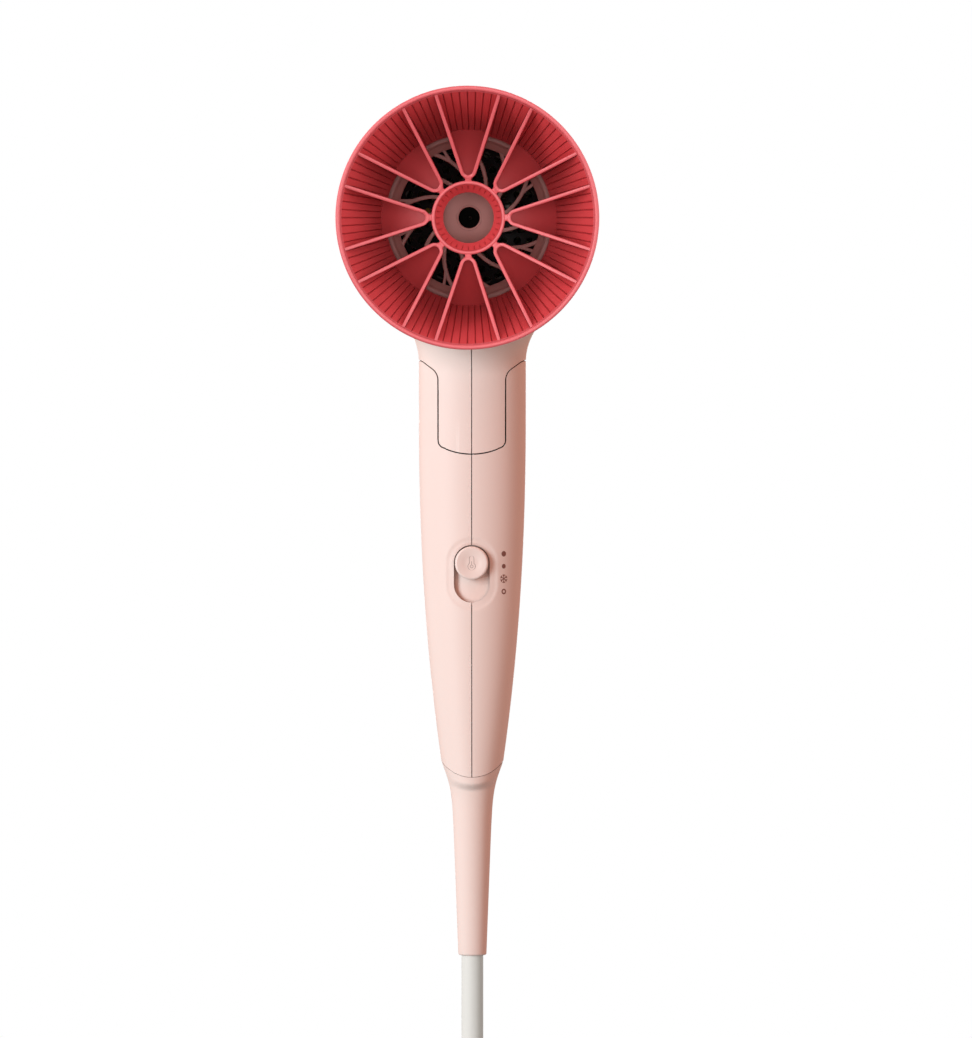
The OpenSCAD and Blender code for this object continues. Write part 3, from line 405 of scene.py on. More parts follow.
def wire(lines, radius, rounding):
    """Round wire or lead along open or closed lines of points."""
    curve = bpy.data.curves.new("wire", "CURVE")
    curve.dimensions = "3D"
    curve.bevel_depth = radius / MM
    curve.bevel_resolution = rounding
    for points, closed in lines:
        spline = curve.splines.new("POLY")
        spline.points.add(len(points) - 1)
        for point, place in zip(spline.points, points):
            point.co = (*(Vector(place) / MM), 1)
        spline.use_cyclic_u = closed
        spline.use_smooth = True
    obj = bpy.data.objects.new("wire", curve)
    bpy.context.scene.collection.objects.link(obj)
    return obj


def piece(name, obj, body, material, stands_for=(), crease=32.0, scale=1 / MM):
    """Finishes a solid as a named piece that rides on a body."""
    obj.name = name
    obj.data.name = name
    obj.data.transform(Matrix.Scale(scale, 4))
    if obj.type == "MESH":
        obj.data.shade_smooth()
        obj.data.set_sharp_from_angle(angle=math.radians(crease))
    obj.data.materials.clear()
    obj.data.materials.append(material)
    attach(obj, body)
    if stands_for:
        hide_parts(*stands_for)
    return obj


def arc(cx, cy, radius, start, end, steps):
    """Points on an arc, with its angles in degrees."""
    return [(cx + radius * math.cos(math.radians(start + (end - start) * i / steps)),
             cy + radius * math.sin(math.radians(start + (end - start) * i / steps)))
            for i in range(steps + 1)]


def smooth_step(low, high, value):
    """0 before low, 1 after high, and a soft rise between them."""
    t = min(max((value - low) / (high - low), 0.0), 1.0)
    return t * t * (3 - 2 * t)


# ---------- Finishes ----------

def add_node(tree, kind, values=None, links=None):
    """Adds a node, sets its values and sockets, and links its inputs."""
    node = tree.nodes.new(kind)
    for key, value in (values or {}).items():
        if isinstance(key, int) or key in node.inputs:
            node.inputs[key].default_value = value
        else:
            setattr(node, key, value)
    for key, source in (links or {}).items():
        tree.links.new(source, node.inputs[key])
    return node


def finish(name, tone, other_tone, roughness, grain_mm, grain_deep_mm, cloud_mm=25.0, spread=0.04,
           stretch=(1, 1, 1), painted_shade_tone=None, painted_shade_mm=14.0, **shader):
    """Opaque finish: two close tones in soft clouds, a surface grain, and roughness that varies.

    A darker tone, if one is given, is painted shade: by ambient occlusion it takes over in seams, corners and
    hollows as deep as the given distance.
    """
    made = bpy.data.materials.new(name)
    made.use_nodes = True
    tree = made.node_tree
    tree.nodes.clear()
    place = add_node(tree, "ShaderNodeTexCoord")
    grain_space = add_node(tree, "ShaderNodeMapping", {"Scale": stretch}, {"Vector": place.outputs["Object"]})
    clouds = add_node(tree, "ShaderNodeTexNoise", {"Scale": MM / cloud_mm, "Detail": 2.0},
                      {"Vector": place.outputs["Object"]})
    grain = add_node(tree, "ShaderNodeTexNoise", {"Scale": MM / grain_mm, "Detail": 3.0},
                     {"Vector": grain_space.outputs["Vector"]})
    tones = add_node(tree, "ShaderNodeMix", {"data_type": "RGBA", 6: (*tone, 1.0), 7: (*other_tone, 1.0)},
                     {0: clouds.outputs["Fac"]})
    if painted_shade_tone:
        # Painted shade: ambient occlusion darkens seams, corners and hollows towards the shade tone.
        occlusion_shade = add_node(tree, "ShaderNodeAmbientOcclusion", {"samples": 8, "Distance": painted_shade_mm / MM})
        tones = add_node(tree, "ShaderNodeMix", {"data_type": "RGBA", 6: (*painted_shade_tone, 1.0)},
                         {0: occlusion_shade.outputs["AO"], 7: tones.outputs[2]})
    rough = add_node(tree, "ShaderNodeMapRange",
                     {"To Min": roughness - spread, "To Max": min(roughness + spread, 1.0)},
                     {"Value": grain.outputs["Fac"]})
    relief = add_node(tree, "ShaderNodeBump", {"Strength": 1.0, "Distance": grain_deep_mm / MM},
                      {"Height": grain.outputs["Fac"]})
    surface = add_node(tree, "ShaderNodeBsdfPrincipled",
                       {key.replace("_", " ").title().replace("Ior", "IOR"): value
                        for key, value in shader.items()},
                       {"Base Color": tones.outputs[2], "Roughness": rough.outputs["Result"],
                        "Normal": relief.outputs["Normal"]})
    add_node(tree, "ShaderNodeOutputMaterial", {}, {"Surface": surface.outputs["BSDF"]})
    return made


def shaded(tone, share):
    """A tone made darker or lighter by a share."""
    return tuple(min(c * share, 1.0) for c in tone)


def matt_abs(tone):
    """Moulded ABS from a spark-eroded tool: a matt grain spreads highlights. Seams and corners within 1.6 mm
    are darkened to brown as painted shade.
    """
    return finish("matt_blush_abs", tone, shaded(tone, 0.985), 0.52, 0.9, 0.004, ior=1.53,
                  specular_ior_level=0.35, painted_shade_tone=linear("#5A2A20"), painted_shade_mm=1.6)


def satin_abs(tone):
    """Moulded ABS from a smoother tool, as on a button that a thumb slides."""
    return finish("satin_blush_abs", tone, shaded(tone, 0.98), 0.4, 0.7, 0.003, ior=1.53,
                  specular_ior_level=0.4)


def soft_elastomer(tone):
    """Moulded elastomer: nearly no gloss, with a faint bloom."""
    return finish("soft_blush_elastomer", tone, shaded(tone, 0.98), 0.7, 0.8, 0.006, ior=1.5,
                  specular_ior_level=0.25)


def coral_polycarbonate(tone):
    """Moulded polycarbonate, satin. Its colour is darkened in the hollows between the fins as painted shade.
    """
    return finish("satin_coral_polycarbonate", tone, shaded(tone, 0.96), 0.42, 0.8, 0.003, ior=1.58,
                  specular_ior_level=0.45, painted_shade_tone=shaded(tone, 0.6))


def coral_painted_highlight(tone):
    """A paler copy of the coral polycarbonate for its forward-facing edges: painted highlight, standing in
    for light that falls on them from the front.
    """
    # Painted highlight: the coral mixed a little towards pale pink.
    pale = tuple(0.87 * c + 0.13 * w for c, w in zip(tone, (1.0, 0.5, 0.55)))
    return finish("thin_coral_polycarbonate", pale, shaded(pale, 0.96), 0.36, 0.8, 0.003, ior=1.58,
                  specular_ior_level=0.5)


def mauve_nylon(tone):
    """Glass-filled nylon that stands the heat: a dry satin with a little mottling."""
    return finish("mauve_glass_filled_nylon", tone, shaded(tone, 0.9), 0.5, 0.8, 0.008, cloud_mm=6.0,
                  ior=1.53, specular_ior_level=0.4)


def pvc_jacket(tone):
    """Extruded PVC: drawn along its length, dull, with faint lengthwise streaks."""
    return finish("matt_pvc_jacket", tone, shaded(tone, 0.97), 0.6, 0.9, 0.006, cloud_mm=12.0,
                  stretch=(1, 1, 0.15), ior=1.53, specular_ior_level=0.3)


def printed_ink(tone):
    """Pad-printed ink: flat and slightly uneven."""
    return finish("pad_printed_ink", tone, shaded(tone, 0.85), 0.6, 0.3, 0.002, cloud_mm=1.5, ior=1.5)


def plain_steel():
    """Turned steel: bright, with fine rings from the tool."""
    return finish("turned_steel", linear("#B8B6B2"), linear("#A4A29E"), 0.3, 0.4, 0.004,
                  stretch=(1, 0.2, 1), metallic=1.0)


def nickel_plate():
    """Nickel plate on a drawn pin: bright and faintly yellow."""
    return finish("nickel_plate", linear("#C9C5BB"), linear("#B9B4A8"), 0.22, 0.5, 0.002, metallic=1.0)


def spring_brass():
    """Bare pressed brass, a little dulled by handling."""
    return finish("spring_brass", linear("#C9A659"), linear("#A98643"), 0.35, 0.6, 0.004, metallic=1.0)


def natural_nylon():
    """Unpigmented moulded nylon: milky, with soft gloss."""
    return finish("natural_nylon", linear("#DDD9CC"), linear("#D0CBBB"), 0.45, 0.8, 0.005, ior=1.53)


def black_nylon():
    """Black glass-filled nylon."""
    return finish("black_nylon", linear("#0D0D0D"), linear("#080808"), 0.6, 0.7, 0.008, ior=1.53,
                  specular_ior_level=0.2)


def solder_mask():
    """Green solder mask on glass-fibre board: glossy, with the weave below just showing."""
    return finish("solder_mask", linear("#1F5B36"), linear("#174B2B"), 0.25, 0.6, 0.01, cloud_mm=4.0,
                  ior=1.5)


def etched_mesh():
    """Fine etched steel mesh, darkened."""
    return finish("etched_steel_mesh", linear("#5A5857"), linear("#3C3B3A"), 0.4, 0.5, 0.05,
                  cloud_mm=1.0, metallic=1.0)


def black_rubber():
    """Soft moulded rubber, dull black."""
    return finish("black_rubber", linear("#191818"), linear("#121111"), 0.8, 0.9, 0.01, ior=1.52)


def pressed_mica():
    """Pressed mica sheet: golden flakes in a dull binder."""
    return finish("pressed_mica", linear("#B49A73"), linear("#8C7350"), 0.55, 1.2, 0.02, cloud_mm=2.0,
                  ior=1.58)


def oxidised_wire():
    """Resistance wire with the dark oxide that heat leaves."""
    return finish("oxidised_resistance_wire", linear("#6B6460"), linear("#49433F"), 0.45, 0.4, 0.01,
                  cloud_mm=1.5, metallic=1.0)


def woven_strap():
    """Woven hook-and-loop strap: a dull pile about half a millimetre deep."""
    return finish("woven_strap", linear("#6A6663"), linear("#4C4946"), 0.95, 0.6, 0.25, cloud_mm=1.2,
                  ior=1.5, sheen_weight=0.4)


# ---------- Handle ----------

def half_w(s, z):
    """Half the handle's width at a height."""
    return s.width / 2 - (s.width - s.foot) / 2 * (max(PIVOT_Z - z, 0) / s.long) ** s.taper


def half_d(s, z):
    """Half the handle's depth at a height."""
    return s.depth / 2 - (s.depth - s.foot) / 2 * (max(PIVOT_Z - z, 0) / s.long) ** s.taper


def hollow_at(b, x, z):
    """Depth of the shallow hollow round the button's slot."""
    near = min(max(z, b.rise - b.travel), b.rise)
    away = math.hypot(x, z - near) / (b.hollow / 2)
    edge_mm, fall = 1.1, 0.75
    edge = edge_mm / (b.hollow / 2)
    return b.hollow_deep * (1 - fall * min(away, 1.0) ** 2) * (1 - smooth_step(1 - edge, 1.0, away))


def handle_ring(s, z, inset, b=None, count=192):
    """One ring of the handle's skin, with the hollow in its front if b is given."""
    ring = []
    for i in range(count):
        t = 2 * math.pi * i / count
        x = (half_w(s, z) - inset) * math.cos(t)
        y = (half_d(s, z) - inset) * math.sin(t)
        ring.append((x, y + (hollow_at(b, x, z) if b and y < 0 else 0.0), z))
    return ring


def handle_skin(s, inset, b=None, top=None):
    """The handle's solid outline, moved in by an inset."""
    low, high = PIVOT_Z - s.long - 8, top or PIVOT_Z + s.shoulder_out + 3
    fine_low, fine_high, fine_step, step = 0.0, 38.0, 0.45, 1.5
    heights, z = [], low
    while z < high:
        heights.append(z)
        z += fine_step if fine_low < z < fine_high else step
    return skin([handle_ring(s, z, inset, b) for z in heights + [high]])


def above_foot(s, inset):
    """Everything above the arched seam at the foot."""
    centre = PIVOT_Z - s.long + math.sqrt(s.arch ** 2 - (s.foot / 2) ** 2)
    return through_y(arc(0, centre, s.arch - inset, 180, 360, 64)
                     + [(FAR, centre), (FAR, FAR), (-FAR, FAR), (-FAR, centre)])


def tab_depth(s, x):
    """Half depth of the tab at a distance from the seam."""
    return s.depth / 2 * math.sqrt(max(1 - (2 * x / s.width) ** 2, 0))


def tab_line(s, grow):
    """Front outline of the tab's end: drops below the pivot, with a round corner."""
    corner_x, steps = s.tab / 2 - s.tab_corner, 20
    arc_angles = [math.radians(3 * k) for k in range(31)]
    centre = min(tab_depth(s, corner_x + s.tab_corner * math.sin(a)) - s.tab_corner * math.cos(a)
                 for a in arc_angles)
    flat = [(x, tab_depth(s, x) + grow) for x in (corner_x * k / steps for k in range(steps + 1))]
    radius = s.tab_corner + grow
    bend = [(corner_x + radius * math.sin(a),
             min(tab_depth(s, corner_x + radius * math.sin(a)) + grow, centre + radius * math.cos(a)))
            for a in arc_angles[2::2]]
    return flat + bend


def tab_swept(s, grow, wider=0.0):
    """The space that the head's tab turns in, round the pivot."""
    half = [(math.hypot(tab_depth(s, x), drop), x) for x, drop in tab_line(s, grow)]
    if wider:
        half.append((half[-1][0], half[-1][1] + wider))
    side = half[-1][1]
    return turned([(0, -side)] + [(r, -x) for r, x in half[::-1]] + half[1:] + [(0, side)],
                  even(192), ABOUT_PIVOT)


def tab_end(s, inset):
    """The tab's end: the handle's own outline turned a quarter round the pivot, with round corners."""
    line = tab_line(s, -inset)
    right = [(x, PIVOT_Z - drop) for x, drop in line]
    left = [(-x, z) for x, z in right[:0:-1]]
    side = line[-1][0]
    return through_y(right + [(side, PIVOT_Z + 1), (-side, PIVOT_Z + 1)] + left)


def shoulder(s, side, grow):
    """Round shoulder of one cheek: round by the tab, a crown, and a round edge outside."""
    cheek, reach = s.tab / 2 + s.side_gap, s.width / 2 + 6
    line = (arc(cheek + s.shoulder_corner, s.shoulder_in - s.shoulder_corner,
                s.shoulder_corner + grow, 180, 100, 14)
            + arc(s.width / 2 - 1.42, s.shoulder_out - s.shoulder_edge, s.shoulder_edge + grow, 100, 45, 10))
    last_x, last_r = line[-1]
    line = [(line[0][0], 0.0)] + line + [(reach, last_r - (reach - last_x)), (reach, 0.0)]
    return turned([(r, side * x) for x, r in line], even(192), ABOUT_PIVOT)


def slot_outline(b, grow):
    """Outline of the button's slot, as (x, z) points."""
    radius = b.across / 2 + b.fit + grow
    return arc(0, b.rise, radius, 0, 180, 32) + arc(0, b.rise - b.travel, radius, 180, 360, 32)


def left_hole(diameter, z, start):
    """Round hole from the left side in to a depth."""
    place = Matrix.Translation((0, 0, z)) @ Matrix.Rotation(math.radians(90), 4, "Y")
    return rod(diameter / 2, -FAR, -start, place)


def build_handle(context, finishes):
    """Both handle mouldings, with the seam, cheeks, slot and hollow."""
    s, b = sizes(context, "dryer_handle"), sizes(context, "dryer_button")
    cheek = s.tab / 2 + s.side_gap
    shell = meet(handle_skin(s, 0, b), above_foot(s, 0))
    inside = meet(handle_skin(s, s.wall, top=PIVOT_Z - 20), above_foot(s, s.wall))
    over = cut(block((-FAR, -FAR, PIVOT_Z), (FAR, FAR, FAR)), shoulder(s, -1, 0), shoulder(s, 1, 0))
    slot = through_y(slot_outline(b, 0), -FAR, -5)
    between = block((-cheek, -FAR, PIVOT_Z), (cheek, FAR, FAR))
    cap_hole = left_hole(s.pivot_cap, PIVOT_Z, s.width / 2 - 4)
    plug_hole = left_hole(s.screw_plug, PIVOT_Z - s.screw_drop, 5)
    cut(shell, inside, tab_swept(s, s.gap, s.side_gap - s.gap), between, over, slot, cap_hole, plug_hole)
    for side, half in zip(("left", "right"), halves(shell, s.seam)):
        piece(f"handle_moulding_{side}", half, "handle", finishes["shell"],
              [f"handle_{side}"])


def build_plugs(context, finishes):
    """Dark plates in the hinge's side gaps and a dark rubber strip in its turning gap, painted shade that
    keeps the gaps dark, and the covers over its screw and the handle's.
    """
    s = sizes(context, "dryer_handle")
    cheek = s.tab / 2 + s.side_gap
    plate_out, plate_in, plate_share, plate_up, plate_down = 0.22, 0.1, 0.92, 4.2, 3.0
    # Painted shade: black plates in the side gaps between the tab and the cheeks keep them dark.
    for name, side in (("left", -1), ("right", 1)):
        circle = arc(0, 0, tab_depth(s, cheek), 0, 360, 64)[:-1]
        outline = [(plate_share * y, z + (plate_up if z > 0 else -plate_down)) for y, z in circle]
        plate = skin([[(side * x, y, PIVOT_Z + z) for y, z in outline]
                      for x in (cheek - plate_out, cheek + plate_in)])
        piece(f"hinge_plate_{name}", plate, "handle", finishes["black"])
    # Painted shade: a black strip sunk in the turning gap keeps it dark.
    strip_sunk, strip_free, strip_wide, strip_drop = 1.0, 0.06, s.tab / 2 + 0.16, 4
    strip = meet(tab_end(s, strip_free - s.gap), handle_skin(s, strip_sunk),
                 block((-strip_wide, -FAR, 0), (strip_wide, FAR, PIVOT_Z - strip_drop)))
    piece("hinge_gasket", cut(strip, tab_end(s, -0.02)), "head", finishes["rubber"])
    cover_sunk, cover_free = 0.06, 0.3
    for name, node, across, z, start in (
            ("pivot_cover", "pivot_cap", s.pivot_cap, PIVOT_Z, s.width / 2 - 2),
            ("screw_cover", "screw_plug", s.screw_plug, PIVOT_Z - s.screw_drop, 8)):
        made = meet(handle_skin(s, cover_sunk), left_hole(across - cover_free, z, start))
        piece(name, made, "handle", finishes["shell"], [node])


def on_handle(s, obj, proud):
    """Presses a flat print on to the front of the handle. Its front stands a little proud."""
    for vertex in obj.data.vertices:
        x, y, z = vertex.co
        front = -half_d(s, z) * math.sqrt(1 - (x / half_w(s, z)) ** 2)
        vertex.co.y = front + (-proud if y < 0 else 0.15)
    return obj


def flat_bar(start, end, width):
    """Thin straight stroke between two (x, z) points."""
    (x0, z0), (x1, z1) = start, end
    along = Vector((x1 - x0, z1 - z0)).normalized() * (width / 2)
    side = Vector((-along.y, along.x))
    return through_y([(x0 + side.x, z0 + side.y), (x0 - side.x, z0 - side.y),
                      (x1 - side.x, z1 - side.y), (x1 + side.x, z1 + side.y)], -0.1, 0.1)


def narrowed(obj, x, share=0.8):
    """Draws a mark in to a share of its width, because its side of the handle curves away."""
    for vertex in obj.data.vertices:
        vertex.co.x = x + share * (vertex.co.x - x)


def build_marks(context, finishes):
    """Printed marks beside the slot: high, low, cool and off."""
    s, b = sizes(context, "dryer_handle"), sizes(context, "dryer_button")
    upright = Matrix.Rotation(math.radians(90), 4, "X")
    high, low, cool, off = 26.6, 22.3, 18.0, 13.6
    large, small, bore_of_ring, proud = 0.95, 0.8, 0.5, 0.03
    for name, z, radius, bore in (("mark_high", high, large, 0), ("mark_low", low, small, 0),
                                  ("mark_off", off, large, bore_of_ring)):
        place = Matrix.Translation((b.marks_x, 0, z)) @ upright
        made = turned([(bore, -0.1), (radius, -0.1), (radius, 0.1), (bore, 0.1)], even(40), place)
        narrowed(made, b.marks_x)
        piece(name, on_handle(s, made, proud), "handle", finishes["ink"])
    strokes = []
    for k in range(6):
        turn = math.radians(60 * k + 30)
        across, up = math.cos(turn), math.sin(turn)

        def at(along, aside):
            return (b.marks_x + along * across - aside * up, cool + along * up + aside * across)
        strokes.append(flat_bar(at(0.0, 0), at(1.5, 0), 0.26))
        for side in (-1, 1):
            strokes.append(flat_bar(at(0.85, 0), at(1.4, side * 0.5), 0.22))
    flake = join(strokes[0], *strokes[1:])
    narrowed(flake, b.marks_x)
    piece("mark_cool", on_handle(s, flake, proud), "handle", finishes["ink"])


# ---------- Button ----------

def build_button(context, finishes):
    """Round sliding button with a soft rim, a shallow dish and a raised thermometer sign."""
    s, b = sizes(context, "dryer_handle"), sizes(context, "dryer_button")
    radius, front = b.across / 2, half_d(s, b.rise) + b.proud
    place = Matrix.Translation((0, 0, b.rise)) @ Matrix.Rotation(math.radians(90), 4, "X")
    thick, edge, rim, dish_deep, steps = 3.6, 0.75, 1.25, 0.42, 12
    dish = [((radius - rim) * (1 - i / steps),
             front - 0.08 - dish_deep * smooth_step(0, 1, i / steps * 1.6)) for i in range(1, steps + 1)]
    outline = [(0, front - thick), (radius, front - thick),
               *arc(radius - edge, front - edge, edge, 0, 100, 12), *dish]
    made = turned(outline, even(128), place)
    stem_r, stem_start = 2.0, 4.8
    stem = moved(rod(stem_r, stem_start, front - 3.0, None, 40), place)
    piece("sliding_button", join(made, stem), "slider", finishes["button"],
          ["heat_button"])
    bulb, bulb_z, tube, tube_z, drop, line = 1.3, -1.15, 0.78, 1.7, 0.5, 0.085
    open_angle = math.degrees(math.asin(tube / bulb))
    outer = (arc(0, bulb_z, bulb, 90 + open_angle, 450 - open_angle, 40)
             + arc(0, tube_z, tube, 0, 180, 20))
    inner = arc(0, bulb_z, drop, 90, 450, 24) + [(0, 0.6)]
    lines = [([(x, 0.5 - front, z + b.rise) for x, z in points], closed)
             for points, closed in ((outer, True), (inner, False))]
    piece("button_sign", wire(lines, line, 2), "slider", finishes["sign"], scale=1.0)


# ---------- Head ----------

def barrel_outline(h, inset):
    """Outline of the head round its own axis, as (radius, forward) points."""
    radius, collar, over = h.barrel / 2 - inset, h.collar / 2 - inset, 1.0 if inset else 0.0
    outline = [(0, -h.back - over), (radius - (0 if inset else 0.35), -h.back - over)]
    if not inset:
        outline.append((radius, -h.back + 0.35))
    outline += arc(h.barrel / 2 - h.shoulder, h.front - h.shoulder, h.shoulder - inset, 0, 90, 24)
    outline += [(collar, h.front - inset), (collar, COLLAR_END + over), (0, COLLAR_END + over)]
    return outline


def neck_flare(s, h, count=192):
    """Neck that spreads into the head with a round blend on every side."""
    radius = h.barrel / 2 - 0.03
    foot_x = (s.width / 2 + h.blend) * radius / (h.barrel / 2 + h.blend)
    foot_y = s.depth / 2 + h.blend_side
    rise_x = HEAD_Z - math.sqrt((h.barrel / 2 + h.blend) ** 2 - (s.width / 2 + h.blend) ** 2)
    rise_y = HEAD_Z - h.barrel / 2 - h.blend_side
    steps = 20
    rings = [[] for _ in range(steps + 4)]
    for i in range(count):
        t = 2 * math.pi * i / count
        c, d = math.cos(t), math.sin(t)
        start = Vector((s.width / 2 * c, s.depth / 2 * d, rise_x * c * c + rise_y * d * d))
        drop = math.sqrt(radius ** 2 - (foot_x * c) ** 2)
        end = Vector((foot_x * c, foot_y * d, HEAD_Z - drop))
        out = Vector((end.x - start.x, end.y - start.y, (end.x - start.x) * end.x / drop)).normalized()
        bend = math.acos(min(max(out.z, -1.0), 1.0))
        handle = 4 / 3 * math.tan(bend / 4) * (end - start).length / (2 * math.sin(bend / 2))
        first, second = start + Vector((0, 0, handle)), end - out * handle
        rings[0].append((start.x, start.y, PIVOT_Z - s.depth / 2 - 4))
        rings[1].append((start.x, start.y, PIVOT_Z))
        for k in range(steps + 1):
            u = k / steps
            rings[2 + k].append(tuple((1 - u) ** 3 * start + 3 * u * (1 - u) ** 2 * first
                                      + 3 * u * u * (1 - u) * second + u ** 3 * end))
        rings[steps + 3].append((end.x * 0.7, end.y * 0.7, HEAD_Z - h.barrel * 0.28))
    return skin(rings)


def neck_space(s, inset):
    """The space that the neck may fill between and above the cheeks."""
    tab = meet(tab_swept(s, -inset),
               join(tab_end(s, inset), block((-FAR, -FAR, PIVOT_Z), (FAR, FAR, FAR))))
    half = s.tab / 2 - inset
    middle = block((-half, -FAR, PIVOT_Z), (half, FAR, FAR))
    over = cut(block((-FAR, -FAR, PIVOT_Z + 8), (FAR, FAR, FAR)),
               shoulder(s, -1, s.gap + inset), shoulder(s, 1, s.gap + inset))
    return join(tab, middle, over)


def build_head(context, finishes):
    """Both head mouldings: barrel, collar, blended neck and tab."""
    s, h = sizes(context, "dryer_handle"), sizes(context, "dryer_head")
    barrel = turned(barrel_outline(h, 0), even(256), ABOUT_HEAD)
    shell = join(barrel, meet(neck_flare(s, h), neck_space(s, 0)))
    section = handle_ring(s, PIVOT_Z, s.wall)
    inner_neck = skin([[(x, y, z) for x, y, _ in section]
                       for z in (PIVOT_Z - s.depth / 2 - 4, HEAD_Z - h.barrel * 0.4)])
    cut(shell, turned(barrel_outline(h, s.wall), even(128), ABOUT_HEAD),
        meet(inner_neck, neck_space(s, s.wall)))
    boss_r, bore_r, boss_half = 5.4, 2.55, s.tab / 2 - 0.6
    boss = rod(boss_r, -boss_half, boss_half, ABOUT_PIVOT)
    cut(join(shell, boss), rod(bore_r, -FAR, FAR, ABOUT_PIVOT))
    for side, half in zip(("left", "right"), halves(shell, s.seam)):
        piece(f"head_moulding_{side}", half, "head", finishes["shell"],
              [f"head_{side}"])


# ---------- Strain relief ----------

def relief_radius(r, s, drop):
    """Radius of the strain relief at a drop below the foot seam."""
    slope, flare_power = 0.0375, 1.4
    spread = s.foot / 2 - 0.1 - r.end / 2 - slope * r.long
    flare = spread * math.exp(-(max(drop, 0) / r.flare) ** flare_power)
    return r.end / 2 + slope * (r.long - drop) + flare


def build_relief(context, finishes):
    """Tapered strain relief, with a collar band flush with the handle under the arched seam."""
    s, r, c = (sizes(context, f"dryer_{name}") for name in ("handle", "relief", "cord"))
    foot_z = PIVOT_Z - s.long
    arch_z = foot_z + math.sqrt(s.arch ** 2 - (s.foot / 2) ** 2)

    def ring(z, shrink=0.0):
        points = []
        radius = relief_radius(r, s, foot_z - z) - shrink
        for k in range(160):
            t = 2 * math.pi * k / 160
            below = math.hypot(radius * math.cos(t), min(z - arch_z, 0)) - s.arch
            swell = (half_d(s, z) - 0.1 - radius) * (1 - smooth_step(r.band, r.band + r.lip, below))
            points.append((radius * math.cos(t), (radius + max(swell, 0)) * math.sin(t), z))
        return points

    heights = [foot_z + 1 - 0.35 * k for k in range(52)]
    heights += [heights[-1] - (heights[-1] - CORD_EXIT_Z - 0.6) * k / 8 for k in range(1, 9)]
    end = [ring(CORD_EXIT_Z + up, 0.6 - side) for side, up in arc(0, 0.6, 0.6, 0, -90, 6)[1:]]
    made = skin([ring(z) for z in heights] + end)
    cut(made, above_foot(s, -0.14), rod(c.across / 2 + 0.02, CORD_EXIT_Z - 5, foot_z + 20))
    piece("tapered_relief", made, "handle", finishes["elastomer"], ["strain_relief"])


# ---------- Diffuser ----------

def rib(path, half_t, low, top, rounding=0.45):
    """Thin rib along a path in plan, with a rounded front edge."""
    rings = []
    for k, (x, y) in enumerate(path):
        before, after = path[max(k - 1, 0)], path[min(k + 1, len(path) - 1)]
        along = Vector((after[0] - before[0], after[1] - before[1])).normalized()
        side = Vector((-along.y, along.x))
        radius = math.hypot(x, y)
        foot, crest = low(radius), top(radius)
        section = [(-half_t, foot), (half_t, foot), (half_t, crest - rounding),
                   (half_t * 0.8, crest - rounding * 0.35), (half_t * 0.4, crest - rounding * 0.08),
                   (-half_t * 0.4, crest - rounding * 0.08), (-half_t * 0.8, crest - rounding * 0.35),
                   (-half_t, crest - rounding)]
        rings.append([(x + side.x * o, y + side.y * o, z) for o, z in section])
    return skin(rings)


def diffuser_levels(d):
    """Named radii and forward distances of the diffuser."""
    rim_s = COLLAR_END + d.deep
    bowl_s = COLLAR_END + 0.6
    hub_s = rim_s - d.sunk
    inner = d.rim / 2 - d.wall
    base_r = d.hole / 2 + 1.4
    base_s = bowl_s + 1.4 / (inner - d.hole / 2) * (rim_s - bowl_s)
    return SimpleNamespace(rim=rim_s, bowl=bowl_s, hub=hub_s, inner=inner, base_r=base_r,
                           base=base_s, tip=hub_s - 2.5, spread=d.tip - d.apex)


def bowl(d, at, head):
    """Flared bowl with a pleated wall, a bead round its rim and a sleeve for the collar."""
    hole, sleeve = d.hole / 2, head.collar / 2 + 0.3
    bead = d.wall / 2

    def wall(share, deep=0.0):
        return (hole + (at.inner - hole) * share, at.bowl + (at.rim - bead - at.bowl) * share, deep)

    inside = [wall(0.0), wall(0.02), wall(0.035, d.groove), wall(0.3, d.groove), wall(0.6, d.groove),
              wall(0.955, d.groove), wall(0.97), wall(1.0)]
    rim = [(x, z) for x, z in arc(at.inner + bead, at.rim - bead, bead, 180, 0, 12)][1:]
    outside = [(sleeve + d.wall + 0.6, at.bowl + 0.6), (sleeve + d.wall, at.bowl - 0.6),
               (sleeve + d.wall, at.bowl - d.sleeve + 0.5), (sleeve + d.wall - 0.5, at.bowl - d.sleeve),
               (sleeve, at.bowl - d.sleeve), (sleeve, at.bowl - 0.3), (hole, at.bowl - 0.3)]
    return turned(inside + rim + outside, notched(d.pleats, 0.25 / 36))


def hub_ring(d, at):
    """Ring at the middle of the diffuser, with short grooves down its inner flare."""
    out, bore = d.ring / 2, d.bore / 2
    lip, foot = out - 1.25, at.hub - 5

    def flare(share, deep=0.0):
        return (lip + (bore - lip) * share, at.hub - 0.35 + (foot - at.hub + 0.35) * share, deep)

    front = arc(out - 0.62, at.hub - 0.62, 0.62, 0, 180, 10)
    return turned([(bore, at.hub - 10), (bore + 1.3, at.hub - 10), (out, at.hub - 1.2), *front,
                   flare(0.02), flare(0.14), flare(0.17, 0.75), flare(0.3, 0.65), flare(0.62, 0.1),
                   flare(0.7), flare(1.0)],
                  notched(d.ticks, 0.3 / 10))


def fin_front(d, at, radius):
    """How far forward the fins reach at a radius: from the hub ring up to just behind the rim."""
    share = (radius - d.ring / 2) / (at.inner - d.ring / 2)
    return at.hub - 0.2 + (at.rim - 0.9 - at.hub + 0.2) * share


